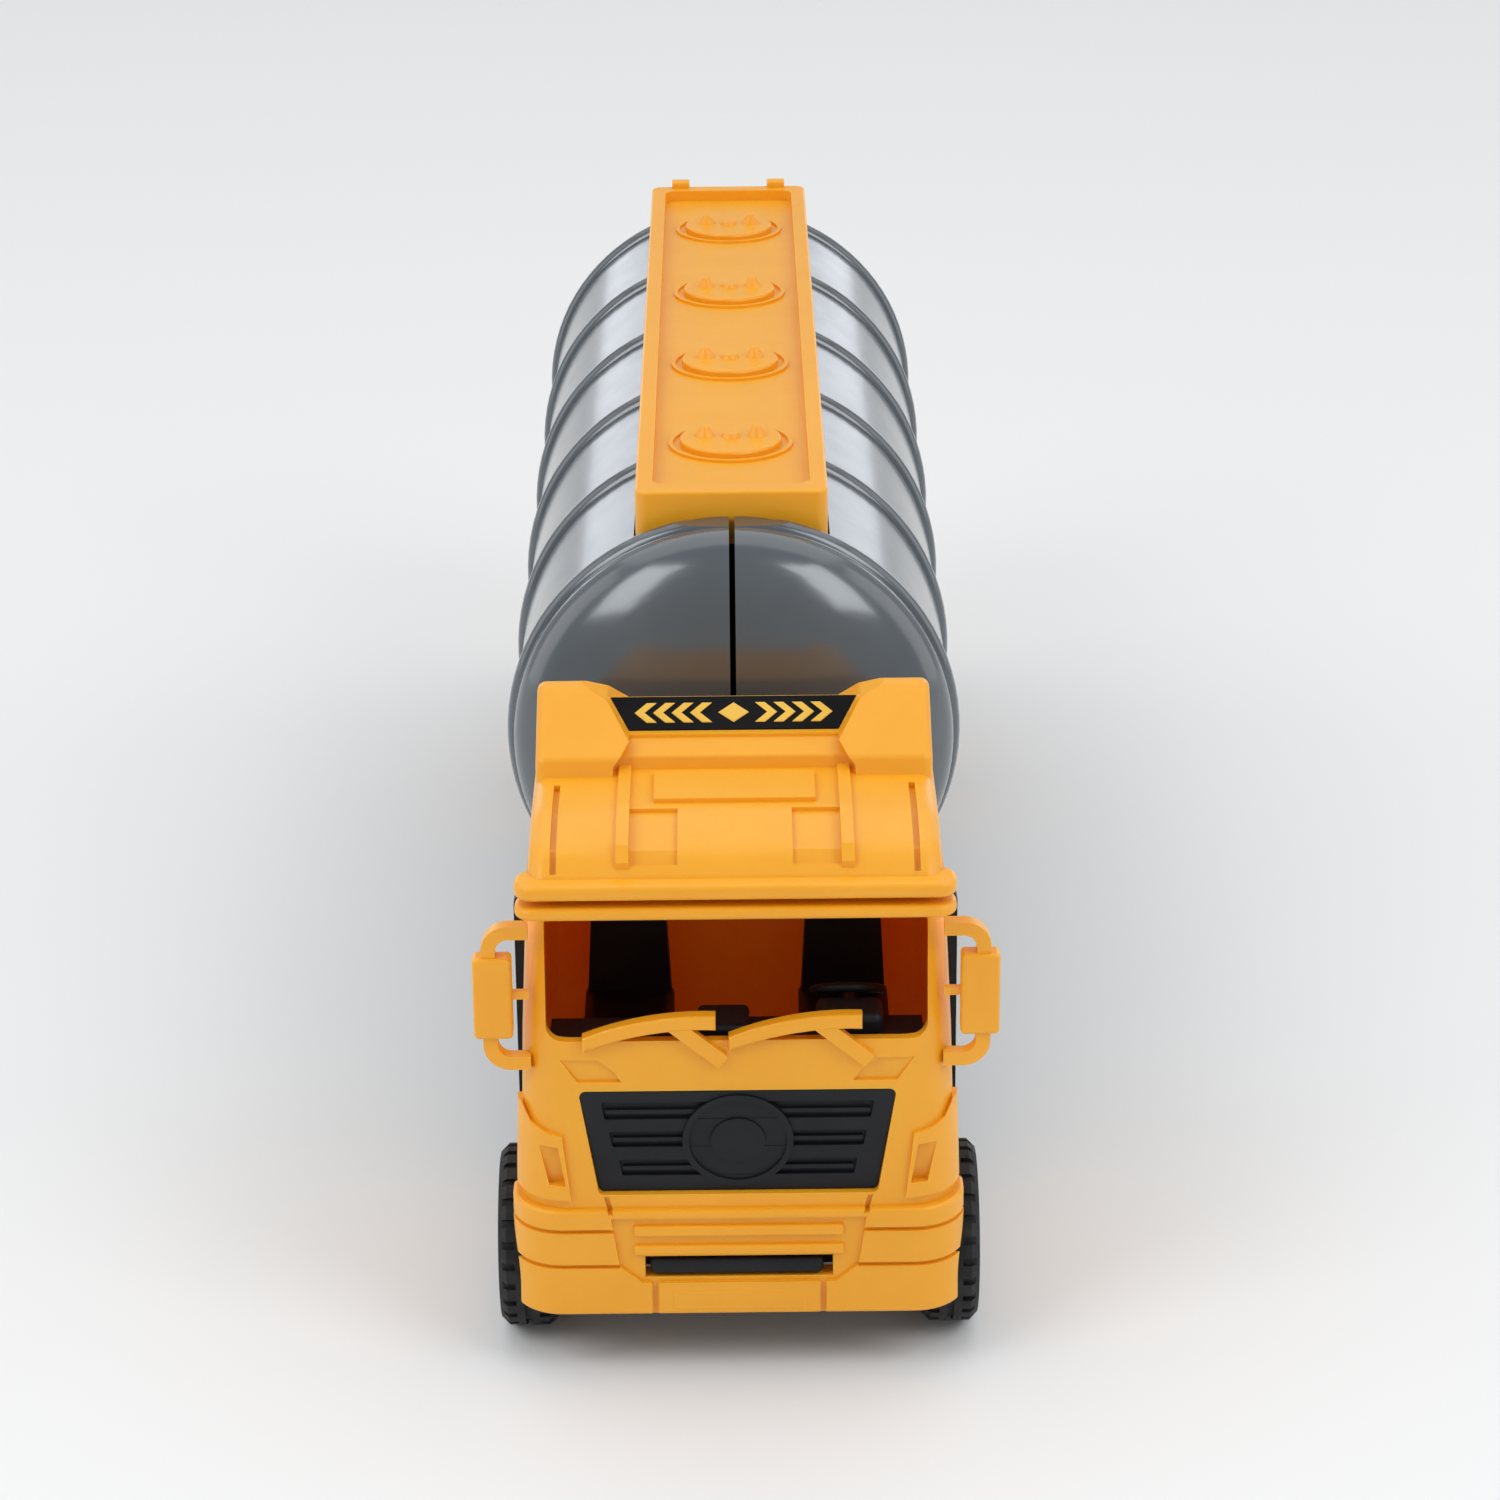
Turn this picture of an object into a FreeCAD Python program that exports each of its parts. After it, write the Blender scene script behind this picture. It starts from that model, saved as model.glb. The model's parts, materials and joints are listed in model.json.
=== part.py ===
"""A toy tanker truck, made as it comes apart on a bench.

A black chassis carries three steel axles with pressed-on wheels. An orange cab, with a separate roof
moulding, sits over a black interior. Behind it a round tank lies along the truck: its lower part is a black
cradle screwed to the chassis, and its upper part is two grey half shells, split along the middle, that swing
outwards on hinge pins low on the tank's flanks. Two bulkheads and a top beam inside the tank carry an orange
walkway with four hatches, so the space between them is a hold.

Frame: millimetres, +Z up, the cab faces -Y and +X is the driver's left. The origin is on the ground in the
middle of the truck's length and width.
"""
import FreeCAD
import Part
import math
import os

V = FreeCAD.Vector

# ---------------------------------------------------------------- driving dimensions
# Whole truck, front to back
overall_length = 386.0
front_overhang = 26.0          # bumper face to front axle
axle_to_tank = 80.0            # front axle to the tank's first rib
cab_length = 75.0              # bumper face to the cab's rear wall
rear_axle_inset = 105.0        # rear face to the first rear axle
rear_axle_pitch = 42.0
ground_clearance = 14.0        # under the bumper

# Wheels and axles
wheel_radius = 18.0
track_outer = 94.0
front_wheel_width = 11.0
rear_wheel_width = 17.0
tread_depth = 0.9
tread_blocks = 26
axle_radius = 1.5
axle_clearance = 0.05
hub_radius = 9.0
hub_thickness = 1.6

# Chassis
deck_top_z = 33.0
deck_thickness = 3.0
deck_half_width = 24.0
rail_x = 13.0
rail_width = 5.0
rail_bottom_z = 21.0
bearing_length = 6.0
bearing_radius = 5.0
screw_radius = 1.3
screw_head_radius = 2.4
screw_head_height = 1.4
screw_bite = 6.0
cradle_screw_inset = 3.5       # from the cradle's side wall

# Tank
tank_axis_z = 93.5
barrel_radius = 46.0
shell_wall = 1.6
rib_height = 1.5
rib_width = 4.6
rib_pitch = 50.0
rib_count = 6
dome_setback = 4.0             # last rib's middle to the edge of the domed end
dome_depth = 17.0
split_half_gap = 0.6           # half the slit between the two shells
cut_gap = 0.3                  # half the gap along the shells' lower edge
hinge_angle = math.radians(35.0)
hinge_offset = 2.8             # hinge axis outside the barrel
knuckle_radius = 2.4
knuckle_length = 7.0
knuckle_gap = 0.3
cradle_clearance = 1.6        # between the shells' knuckles and the cradle's side walls
pin_radius = 1.0
pin_clearance = 0.06
hinge_stations = (0, 2, 4)     # the panels between ribs that carry a hinge

# Frame inside the tank, and the walkway on it
bulkhead_thickness = 2.4
bulkhead_clearance = 1.0       # inside the closed shells
nib_radius = 1.2
nib_clearance = 0.35
nib_angles = (20.0, 55.0)
beam_half_width = 14.0
beam_height = 5.0
beam_wall = 1.8
walkway_half_width = 20.0
walkway_rise = 5.3             # above the barrel
walkway_side_height = 11.5
walkway_front_inset = 4.2      # behind the first rib's middle
walkway_rear_overhang = 8.4    # past the last rib's middle
walkway_wall = 1.8
walkway_rail = 3.6
walkway_end_rail = 5.0
walkway_recess = 2.6
walkway_corner = 2.6
slot_clearance = 0.35          # between the walkway and the shells
slot_drop = 1.3                # of the shells' edge below the walkway's underside
rim_notch_half_width = 15.6
hatch_count = 4
hatch_share = 0.938            # of the walkway's length, taken by the row of hatches
hatch_shift = 2.5              # of the row's middle, towards the rear
hatch_radius = 11.0
hatch_height = 1.7
hatch_ring_radius = 13.4
hatch_ring_width = 0.9
hatch_ring_height = 0.6

# Cab
wall = 2.0
cab_half_width_low = 42.0
cab_half_width_belt = 41.0
cab_half_width_top = 39.6
bumper_half_width = 43.9
cab_corner = 10.0
cab_rear_corner = 3.0
belt_z = 70.0
bumper_top_z = 36.6
cab_top_z = 99.9
face_lean_low = 1.4            # how far the face is behind the bumper, just above it
face_lean_belt = 3.6
face_lean_top = 7.0
windscreen_half_width = 36.2
windscreen_bottom_z = 71.0
windscreen_top_z = 95.6
lip_thickness = 2.5
lip_gap = 1.5
lip_half_width = 41.3
lip_reach = 9.0               # of the lips along the cab's sides
lip_corner = 3.6
seat_x = 21.6
seat_offset = 42.0             # bumper face to the front of the seat cushions
seat_width = 18.0
seat_top_z = 84.0
floor_thickness = 2.5
floor_half_width = 33.0
roof_half_width = 38.8
roof_edge_round = 3.2
roof_rise = 10.3               # above the roof's lower edge
horn_rise = 12.4               # of the deflector's horns above the roof
sign_low_rise = 5.1
sign_high_rise = 10.3
grille_bottom_z = 39.4
grille_top_z = 60.8
grille_top_half_width = 30.3
grille_bottom_half_width = 26.7
fit_gap = 0.15                 # between an insert and its opening

# ---------------------------------------------------------------- places worked out from them
front_y = -overall_length / 2
rear_y = overall_length / 2
front_axle_y = front_y + front_overhang
tank_front_y = front_axle_y + axle_to_tank
tank_rear_y = tank_front_y + rib_pitch * (rib_count - 1)
cab_rear_y = front_y + cab_length
axle_ys = {
    "front": front_axle_y,
    "middle": rear_y - rear_axle_inset,
    "rear": rear_y - rear_axle_inset + rear_axle_pitch,
}
rib_radius = barrel_radius + rib_height
hinge_radius = barrel_radius + hinge_offset
hinge_x = hinge_radius * math.sin(hinge_angle)
hinge_z = tank_axis_z - hinge_radius * math.cos(hinge_angle)
split_z = tank_axis_z - barrel_radius * math.cos(hinge_angle)
cradle_half_width = hinge_x - knuckle_radius - cradle_clearance
inner_radius = barrel_radius - shell_wall
bulkhead_radius = inner_radius - bulkhead_clearance
nib_reach = inner_radius - nib_clearance
walkway_top_z = tank_axis_z + barrel_radius + walkway_rise
dome_front_y = tank_front_y - dome_setback
dome_rear_y = tank_rear_y + dome_setback
walkway_front_y = tank_front_y + walkway_front_inset
walkway_rear_y = tank_rear_y + walkway_rear_overhang
bulkhead_front_y = walkway_front_y + walkway_wall + 0.2
bulkhead_rear_y = tank_rear_y - walkway_front_inset - 1.0 - bulkhead_thickness
hatch_pitch = hatch_share * (walkway_rear_y - walkway_front_y) / hatch_count
roof_base_z = cab_top_z + lip_gap
roof_top_z = roof_base_z + roof_rise
deflector_top_z = roof_top_z + horn_rise

SIDES = {"left": 1, "right": -1}   # the driver's left is +X


# ---------------------------------------------------------------- helpers
def box(x0, x1, y0, y1, z0, z1):
    return Part.makeBox(x1 - x0, y1 - y0, z1 - z0, V(x0, y0, z0))


def rod(start, end, radius):
    axis = end - start
    return Part.makeCylinder(radius, axis.Length, start, axis)


def rounded_wire(points, radii):
    """A closed wire through 3-D points in one plane, each corner rounded by an arc of its radius."""
    count = len(points)
    starts, ends = [], []
    edges = []
    for i, corner in enumerate(points):
        radius = radii[i] if isinstance(radii, (list, tuple)) else radii
        to_last = (points[i - 1] - corner).normalize()
        to_next = (points[(i + 1) % count] - corner).normalize()
        half = to_last.getAngle(to_next) / 2
        reach = radius / math.tan(half)
        start = corner + to_last * reach
        end = corner + to_next * reach
        starts.append(start)
        ends.append(end)
        if radius > 0:
            bisector = (to_last + to_next).normalize()
            centre = corner + bisector * (radius / math.sin(half))
            middle = centre - bisector * radius
            edges.append(Part.Arc(start, middle, end).toShape())
        if i > 0 and (start - ends[i - 1]).Length > 1e-6:
            edges.insert(-1 if radius > 0 else len(edges), Part.LineSegment(ends[i - 1], start).toShape())
    edges.append(Part.LineSegment(ends[-1], starts[0]).toShape())
    return Part.Wire(Part.__sortEdges__(edges))


def side_prism(outline, half_width, radii=0.0, x_from=None):
    """An outline of (y, z) points, pulled across X."""
    x0 = -half_width if x_from is None else x_from
    face = Part.Face(rounded_wire([V(x0, y, z) for y, z in outline], radii))
    return face.extrude(V(half_width - x0, 0, 0))


def front_prism(outline, y0, y1, radii=0.0):
    """An outline of (x, z) points, pulled along Y from y0 to y1."""
    face = Part.Face(rounded_wire([V(x, y0, z) for x, z in outline], radii))
    return face.extrude(V(0, y1 - y0, 0))


def plan_prism(outline, z0, z1, radii=0.0):
    """An outline of (x, y) points, pulled up from z0 to z1."""
    face = Part.Face(rounded_wire([V(x, y, z0) for x, y in outline], radii))
    return face.extrude(V(0, 0, z1 - z0))


def plan_section(z, half_width, y0, y1, front_corner, rear_corner):
    outline = [V(-half_width, y0, z), V(half_width, y0, z), V(half_width, y1, z), V(-half_width, y1, z)]
    return rounded_wire(outline, [front_corner, front_corner, rear_corner, rear_corner])


def tapered(sections):
    """A solid through plan sections given as (z, half width, front y, rear y, front corner, rear corner)."""
    return Part.makeLoft([plan_section(*s) for s in sections], True, True)


def soft_box(x0, x1, y0, y1, z0, z1, radius):
    block = box(x0, x1, y0, y1, z0, z1)
    return block.makeFillet(radius, block.Edges)


def mirrored(shape):
    return shape.mirror(V(0, 0, 0), V(1, 0, 0))


def on_both_sides(shape):
    return [shape, mirrored(shape)]


def fused(shapes):
    whole = shapes[0].multiFuse(shapes[1:]) if len(shapes) > 1 else shapes[0]
    return whole.removeSplitter()


def turned_about_x(outline, centre_y, centre_z):
    """A solid of revolution about a line along X from (x, radius) points."""
    wire = rounded_wire([V(x, centre_y, centre_z + r) for x, r in outline], 0.0)
    return Part.Face(wire).revolve(V(0, centre_y, centre_z), V(1, 0, 0), 360)


def ring_of(tool, count, centre, axis):
    copies = []
    for i in range(count):
        copy = tool.copy()
        copy.rotate(centre, axis, 360.0 * i / count)
        copies.append(copy)
    return copies


PARTS = {}


def keep(name, shape):
    solids = shape.Solids
    PARTS[name] = solids[0] if len(solids) == 1 else Part.makeCompound(solids)


# ---------------------------------------------------------------- wheels and axles
def wheel(width):
    """A one-piece wheel that stands on +X, its outer face at half the outer track. A wide one is a twin."""
    outer = track_outer / 2
    inner = outer - width
    shoulder = 1.6
    dish = 2.2
    rim = wheel_radius * 0.68
    hub_face = outer - dish
    outline = [
        (inner, axle_radius),
        (inner, wheel_radius - shoulder),
        (inner + shoulder, wheel_radius),
        (outer - shoulder, wheel_radius),
        (outer, wheel_radius - shoulder),
        (outer, rim + 1.0),
        (outer - 0.8, rim),
        (hub_face, rim - 0.6),
        (hub_face, axle_radius),
    ]
    body = turned_about_x(outline, 0, 0)
    cuts = []
    notch_width = 1.5
    notch_length = min(width * 0.3, 4.0)
    for edge, direction in ((outer, -1), (inner, 1)):
        x0, x1 = sorted((edge - direction * 0.5, edge + direction * notch_length))
        notch = box(x0, x1, -notch_width / 2, notch_width / 2, wheel_radius - tread_depth, wheel_radius + 1)
        cuts += ring_of(notch, tread_blocks, V(0, 0, 0), V(1, 0, 0))
    middle = (outer + inner) / 2
    twin = width > (front_wheel_width + rear_wheel_width) / 2
    groove_depth = 3.2 if twin else tread_depth
    groove_half = 1.0 if twin else 0.6
    groove = [
        (middle - groove_half, wheel_radius - groove_depth),
        (middle - groove_half, wheel_radius + 1),
        (middle + groove_half, wheel_radius + 1),
        (middle + groove_half, wheel_radius - groove_depth),
    ]
    cuts.append(turned_about_x(groove, 0, 0))
    return body.cut(Part.makeCompound(cuts)), hub_face


def hub_cap(hub_face):
    """A pressed-in hub cap with a dished face and ten wheel nuts."""
    outline = [
        (hub_face, axle_radius),
        (hub_face, hub_radius),
        (hub_face + hub_thickness * 0.6, hub_radius),
        (hub_face + hub_thickness, hub_radius - 0.9),
        (hub_face + hub_thickness * 0.55, hub_radius * 0.62),
        (hub_face + hub_thickness * 0.55, hub_radius * 0.45),
        (hub_face + hub_thickness + 0.5, hub_radius * 0.38),
        (hub_face + hub_thickness + 0.5, axle_radius),
    ]
    cap = turned_about_x(outline, 0, 0)
    nut_x = hub_face + hub_thickness * 0.4
    nut = rod(V(nut_x, 0, hub_radius * 0.72), V(nut_x + 1.2, 0, hub_radius * 0.72), 0.65)
    return fused([cap] + ring_of(nut, 10, V(0, 0, 0), V(1, 0, 0)))


def make_axle(name, y, width):
    tyre, hub_face = wheel(width)
    cap = hub_cap(hub_face)
    end = hub_face + hub_thickness
    shaft = rod(V(-end, y, wheel_radius), V(end, y, wheel_radius), axle_radius)
    keep(name + "_axle", shaft)
    place = V(0, y, wheel_radius)
    for side, sign in SIDES.items():
        for label, shape in (("wheel", tyre), ("hub_cap", cap)):
            placed = shape.copy() if sign > 0 else mirrored(shape)
            placed.translate(place)
            keep(f"{name}_{label}_{side}", placed)


# ---------------------------------------------------------------- chassis
def bearing_span(wheel_width):
    """Along X, the bearing just inside a wheel of this width."""
    outer = track_outer / 2 - wheel_width - 1.0
    return outer - bearing_length, outer


bearing_spans = {"front": bearing_span(front_wheel_width), "middle": bearing_span(rear_wheel_width)}
bearing_spans["rear"] = bearing_spans["middle"]
cab_screw_places = [
    (sign * seat_x, front_y + seat_offset + behind)
    for sign in (1, -1)
    for behind in (5.0, 17.0)
]
cradle_screw_places = [
    (sign * (cradle_half_width - cradle_screw_inset), tank_front_y + along * rib_pitch)
    for sign in (1, -1)
    for along in (0.5, 2.5, 4.5)
]


def chassis_frame():
    y0, y1 = front_y + 10.0, rear_y - 4.0
    deck_z0 = deck_top_z - deck_thickness
    pieces = [plan_prism(
        [(-deck_half_width, y0), (deck_half_width, y0), (deck_half_width, y1), (-deck_half_width, y1)],
        deck_z0, deck_top_z, 3.0)]
    rail = box(rail_x, rail_x + rail_width, y0 + 4, y1 - 2, rail_bottom_z, deck_z0)
    pieces += on_both_sides(rail)
    cross_count = 9
    for i in range(cross_count):
        y = y0 + 6 + (y1 - y0 - 14) * i / (cross_count - 1)
        pieces.append(box(-rail_x - 1, rail_x + 1, y, y + 2.0, rail_bottom_z + 3, deck_z0 + 0.5))
    for name, y in axle_ys.items():
        x0, x1 = bearing_spans[name]
        wing = box(rail_x, x1, y - bearing_radius, y + bearing_radius, wheel_radius, deck_top_z)
        eye = rod(V(x0, y, wheel_radius), V(x1, y, wheel_radius), bearing_radius)
        inner_eye = rod(V(rail_x, y, wheel_radius), V(rail_x + rail_width, y, wheel_radius), bearing_radius)
        slot = box(rail_x + rail_width, x0, y - 2 * bearing_radius, y + 2 * bearing_radius, 0, deck_z0)
        pieces += on_both_sides(fused([wing, eye, inner_eye]).cut(slot))
    for x, y in cab_screw_places + cradle_screw_places:
        pieces.append(rod(V(x, y, deck_z0 - 3), V(x, y, deck_z0 + 1), screw_head_radius + 0.8))
    frame = fused(pieces)
    cuts = []
    for name, y in axle_ys.items():
        reach = track_outer
        cuts.append(rod(V(-reach, y, wheel_radius), V(reach, y, wheel_radius), axle_radius + axle_clearance))
    for x, y in cab_screw_places + cradle_screw_places:
        cuts.append(rod(V(x, y, deck_z0 - 4), V(x, y, deck_top_z + 1), screw_radius + 0.1))
        cuts.append(rod(V(x, y, deck_z0 - 4), V(x, y, deck_z0 - 3 + screw_head_height), screw_head_radius + 0.15))
    return frame.cut(Part.makeCompound(cuts))


def screw(x, y):
    """A pan-head screw driven upwards through the deck, with a cross recess."""
    head_z = deck_top_z - deck_thickness - 3
    head = rod(V(x, y, head_z), V(x, y, head_z + screw_head_height), screw_head_radius)
    shank = rod(V(x, y, head_z), V(x, y, deck_top_z + screw_bite), screw_radius)
    recess = [
        box(x - 1.3, x + 1.3, y - 0.25, y + 0.25, head_z - 1, head_z + 0.7),
        box(x - 0.25, x + 0.25, y - 1.3, y + 1.3, head_z - 1, head_z + 0.7),
    ]
    return fused([head, shank]).cut(Part.makeCompound(recess))


def screw_bore(x, y):
    return rod(V(x, y, deck_top_z - 1), V(x, y, deck_top_z + screw_bite + 0.8), screw_radius)


# ---------------------------------------------------------------- tank
def tank_solid(radius, depth, with_ribs):
    """The tank as a full solid of revolution: a barrel with two elliptical ends, and ribs if asked for."""
    centre = V(0, 0, tank_axis_z)
    edges = []
    last = None
    for y, direction in ((dome_front_y, -1), (dome_rear_y, 1)):
        middle = centre + V(0, y, 0)
        ellipse = Part.Ellipse(middle + V(0, 0, radius), middle + V(0, direction * depth, 0), middle)
        edges.append(Part.ArcOfEllipse(ellipse, 0, math.pi / 2).toShape())
    last = V(0, dome_front_y, tank_axis_z + radius)
    if with_ribs:
        for i in range(rib_count):
            y = tank_front_y + i * rib_pitch
            top = V(0, y, tank_axis_z + rib_radius)
            feet = [V(0, y + side * rib_width / 2, tank_axis_z + radius) for side in (-1, 1)]
            edges.append(Part.LineSegment(last, feet[0]).toShape())
            edges.append(Part.Arc(feet[0], top, feet[1]).toShape())
            last = feet[1]
    edges.append(Part.LineSegment(last, V(0, dome_rear_y, tank_axis_z + radius)).toShape())
    poles = [V(0, dome_front_y - depth, tank_axis_z), V(0, dome_rear_y + depth, tank_axis_z)]
    edges.append(Part.LineSegment(*poles).toShape())
    face = Part.Face(Part.Wire(Part.__sortEdges__(edges)))
    return face.revolve(centre, V(0, 1, 0), 360)


def tank_space():
    return tank_solid(barrel_radius, dome_depth, False)


def tank_hollow():
    return tank_solid(inner_radius, dome_depth - shell_wall, False)


def tank_skin():
    """The whole tank's skin, with a groove beside each end rib."""
    skin = tank_solid(barrel_radius, dome_depth, True)
    grooves = [
        Part.makeTorus(barrel_radius + 0.25, 0.75, V(0, y, tank_axis_z), V(0, 1, 0))
        for y in (tank_front_y - rib_width / 2 - 0.75, tank_rear_y + rib_width / 2 + 0.75)
    ]
    return skin.cut(Part.makeCompound(grooves)).cut(tank_hollow())


def hinge_spans():
    """Along Y, for each hinge: the shell's knuckle, and the cradle's knuckle on each side of it."""
    for panel in hinge_stations:
        middle = tank_front_y + (panel + 0.5) * rib_pitch
        half = knuckle_length / 2
        side = knuckle_length * 0.6
        yield (middle - half, middle + half), [
            (middle - half - knuckle_gap - side, middle - half - knuckle_gap),
            (middle + half + knuckle_gap, middle + half + knuckle_gap + side),
        ]


def knuckle(y0, y1):
    return rod(V(hinge_x, y0, hinge_z), V(hinge_x, y1, hinge_z), knuckle_radius)


def pin_bore(radius):
    y0, y1 = tank_front_y, tank_rear_y
    return rod(V(hinge_x, y0, hinge_z), V(hinge_x, y1, hinge_z), radius)


def tank_shell(skin):
    """The shell on +X."""
    y0, y1 = dome_front_y - dome_depth - 1, dome_rear_y + dome_depth + 1
    top = tank_axis_z + rib_radius + 1
    shell = skin.common(box(split_half_gap, rib_radius + 1, y0, y1, split_z + cut_gap, top))
    slot_x = walkway_half_width + slot_clearance
    slot = box(0, slot_x, walkway_front_y - slot_clearance, walkway_rear_y + slot_clearance,
               beam_bottom_z() - slot_drop, top)
    notch = box(0, rim_notch_half_width, tank_front_y - rib_width / 2 - 0.1, walkway_front_y,
                tank_axis_z + barrel_radius - 0.1, top)
    shell = shell.cut(Part.makeCompound([slot, notch]))
    lugs = []
    web_top = split_z + 3.2
    for (k0, k1), _ in hinge_spans():
        web = box(hinge_x - 1.6, hinge_x + knuckle_radius, k0, k1, hinge_z, web_top)
        lugs.append(fused([knuckle(k0, k1), web]).cut(tank_hollow()))
    shell = fused([shell] + lugs)
    return shell.cut(pin_bore(pin_radius + pin_clearance))


def tank_cradle(skin):
    y0, y1 = dome_front_y - dome_depth - 1, dome_rear_y + dome_depth + 1
    low = tank_axis_z - rib_radius - 1
    half = cradle_half_width
    top = split_z - cut_gap
    trough = skin.common(box(-rib_radius, rib_radius, y0, y1, low, top))
    base_y0, base_y1 = dome_front_y - 6, dome_rear_y + 6
    base = box(-half, half, base_y0, base_y1, deck_top_z, top)
    base_hollow = box(-half + wall, half - wall, base_y0 + wall, base_y1 - wall, deck_top_z - 1, tank_axis_z)
    space = tank_space()
    rib_ys = [tank_front_y + i * rib_pitch for i in range(rib_count)]
    webs = [box(-half, half, y - 1, y + 1, deck_top_z, top) for y in rib_ys]
    bosses = [rod(V(x, y, deck_top_z), V(x, y, top), screw_radius + 1.6) for x, y in cradle_screw_places]
    structure = fused([base.cut(base_hollow)] + webs + bosses).cut(space)
    lugs = []
    for _, spans in hinge_spans():
        for k0, k1 in spans:
            web = box(half - wall, hinge_x + 1.4, k0, k1, hinge_z - 5.0, hinge_z)
            lug = fused([knuckle(k0, k1), web]).cut(space)
            lugs += on_both_sides(lug)
    cradle = fused([trough, structure] + lugs)
    cuts = on_both_sides(pin_bore(pin_radius)) + [screw_bore(x, y) for x, y in cradle_screw_places]
    return cradle.cut(Part.makeCompound(cuts))


def hinge_pins():
    pins = []
    for _, ((a0, _a1), (_b0, b1)) in hinge_spans():
        pins.append(rod(V(hinge_x, a0, hinge_z), V(hinge_x, b1, hinge_z), pin_radius))
    return Part.makeCompound(pins)


def beam_bottom_z():
    return walkway_top_z - walkway_side_height


def bulkhead(y0):
    """A plate across the tank with friction nibs on its edge that hold the closed shells."""
    y1 = y0 + bulkhead_thickness
    plate = rod(V(0, y0, tank_axis_z), V(0, y1, tank_axis_z), bulkhead_radius)
    top_z = beam_bottom_z()
    keep_box = box(-60, 60, y0, y1, split_z + 0.5, top_z)
    plate = plate.common(keep_box)
    for angle in nib_angles:
        a = math.radians(angle)
        reach = nib_reach - nib_radius
        x, z = reach * math.cos(a), tank_axis_z + reach * math.sin(a)
        nib = rod(V(x, y0, z), V(x, y1, z), nib_radius)
        plate = fused([plate] + on_both_sides(nib))
    stiffener = 1.2
    inward = 1 if (y0 + y1) / 2 < (bulkhead_front_y + bulkhead_rear_y) / 2 else -1
    rib_y = sorted((y0 if inward < 0 else y1 - 0.5, (y0 - stiffener) if inward < 0 else y1 + stiffener))
    bars = [box(x - 1.0, x + 1.0, rib_y[0], rib_y[1], split_z + 6, tank_axis_z + 22) for x in (-22.0, 0.0, 22.0)]
    foot = box(-18, 18, y0, y1, tank_axis_z - inner_radius + 1.2, split_z + 1)
    foot = foot.common(rod(V(0, y0, tank_axis_z), V(0, y1, tank_axis_z), inner_radius - 0.05))
    return fused([plate, foot] + bars)


def hold_floor():
    """A flat floor that drops into the cradle and stands on its curved bottom."""
    y0 = bulkhead_front_y + bulkhead_thickness + 0.2
    y1 = bulkhead_rear_y - 0.2
    top = split_z + 2.0
    thickness = 1.6
    half = math.sqrt((inner_radius - 0.2) ** 2 - (tank_axis_z - (top - thickness)) ** 2)
    floor = box(-half, half, y0, y1, top - thickness, top)
    feet = []
    for share in (-0.5, 0.5):
        x = share * half
        foot = box(x - 0.8, x + 0.8, y0 + 4, y1 - 4, tank_axis_z - inner_radius - 1, top - 0.5)
        feet.append(foot)
    stands = fused(feet).common(rod(V(0, y0, tank_axis_z), V(0, y1, tank_axis_z), inner_radius - 0.02))
    kerb = [box(half - 1.5, half, y0, y1, top - 0.5, top + 1.4)]
    return fused([floor, stands] + on_both_sides(kerb[0]))


def top_beam():
    """An inverted channel along the top of the hold, resting on the bulkheads and holding the walkway."""
    z0 = beam_bottom_z()
    y0, y1 = bulkhead_front_y, bulkhead_rear_y + bulkhead_thickness
    outer = box(-beam_half_width, beam_half_width, y0, y1, z0, z0 + beam_height)
    inner = box(-beam_half_width + beam_wall, beam_half_width - beam_wall, y0 + bulkhead_thickness + 1,
                y1 - bulkhead_thickness - 1, z0 - 1, z0 + beam_height - beam_wall)
    return outer.cut(inner)


def walkway():
    y0, y1 = walkway_front_y, walkway_rear_y
    z1 = walkway_top_z
    z0 = z1 - walkway_side_height
    half = walkway_half_width
    outline = [(-half, y0), (half, y0), (half, y1), (-half, y1)]
    body = plan_prism(outline, z0, z1, walkway_corner)
    top_edges = [e for e in body.Edges if all(abs(v.Z - z1) < 1e-6 for v in e.Vertexes)]
    body = body.makeFillet(0.7, top_edges)
    r = walkway_rail
    well = [(-half + r, y0 + walkway_end_rail), (half - r, y0 + walkway_end_rail),
            (half - r, y1 - walkway_end_rail), (-half + r, y1 - walkway_end_rail)]
    floor_z = z1 - walkway_recess
    body = body.cut(plan_prism(well, floor_z, z1 + 1, 3.0))
    under = box(-half + walkway_wall, half - walkway_wall, y0 + walkway_wall, y1 - walkway_wall, z0 - 1,
                floor_z - walkway_wall)
    body = body.cut(under)
    # the beam's channel top carries the walkway on cross ribs
    beam_top = beam_bottom_z() + beam_height
    ribs = [
        box(-half + 0.5, half - 0.5, y, y + 1.4, beam_top, floor_z - 0.5)
        for y in [y0 + 12 + i * (y1 - y0 - 25.4) / 5 for i in range(6)]
    ]
    middle_y = (y0 + y1) / 2 + hatch_shift
    hatches = []
    for i in range(hatch_count):
        y = middle_y + (i - (hatch_count - 1) / 2) * hatch_pitch
        hatches += hatch(y, floor_z)
    return fused([body] + ribs + hatches)


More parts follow.
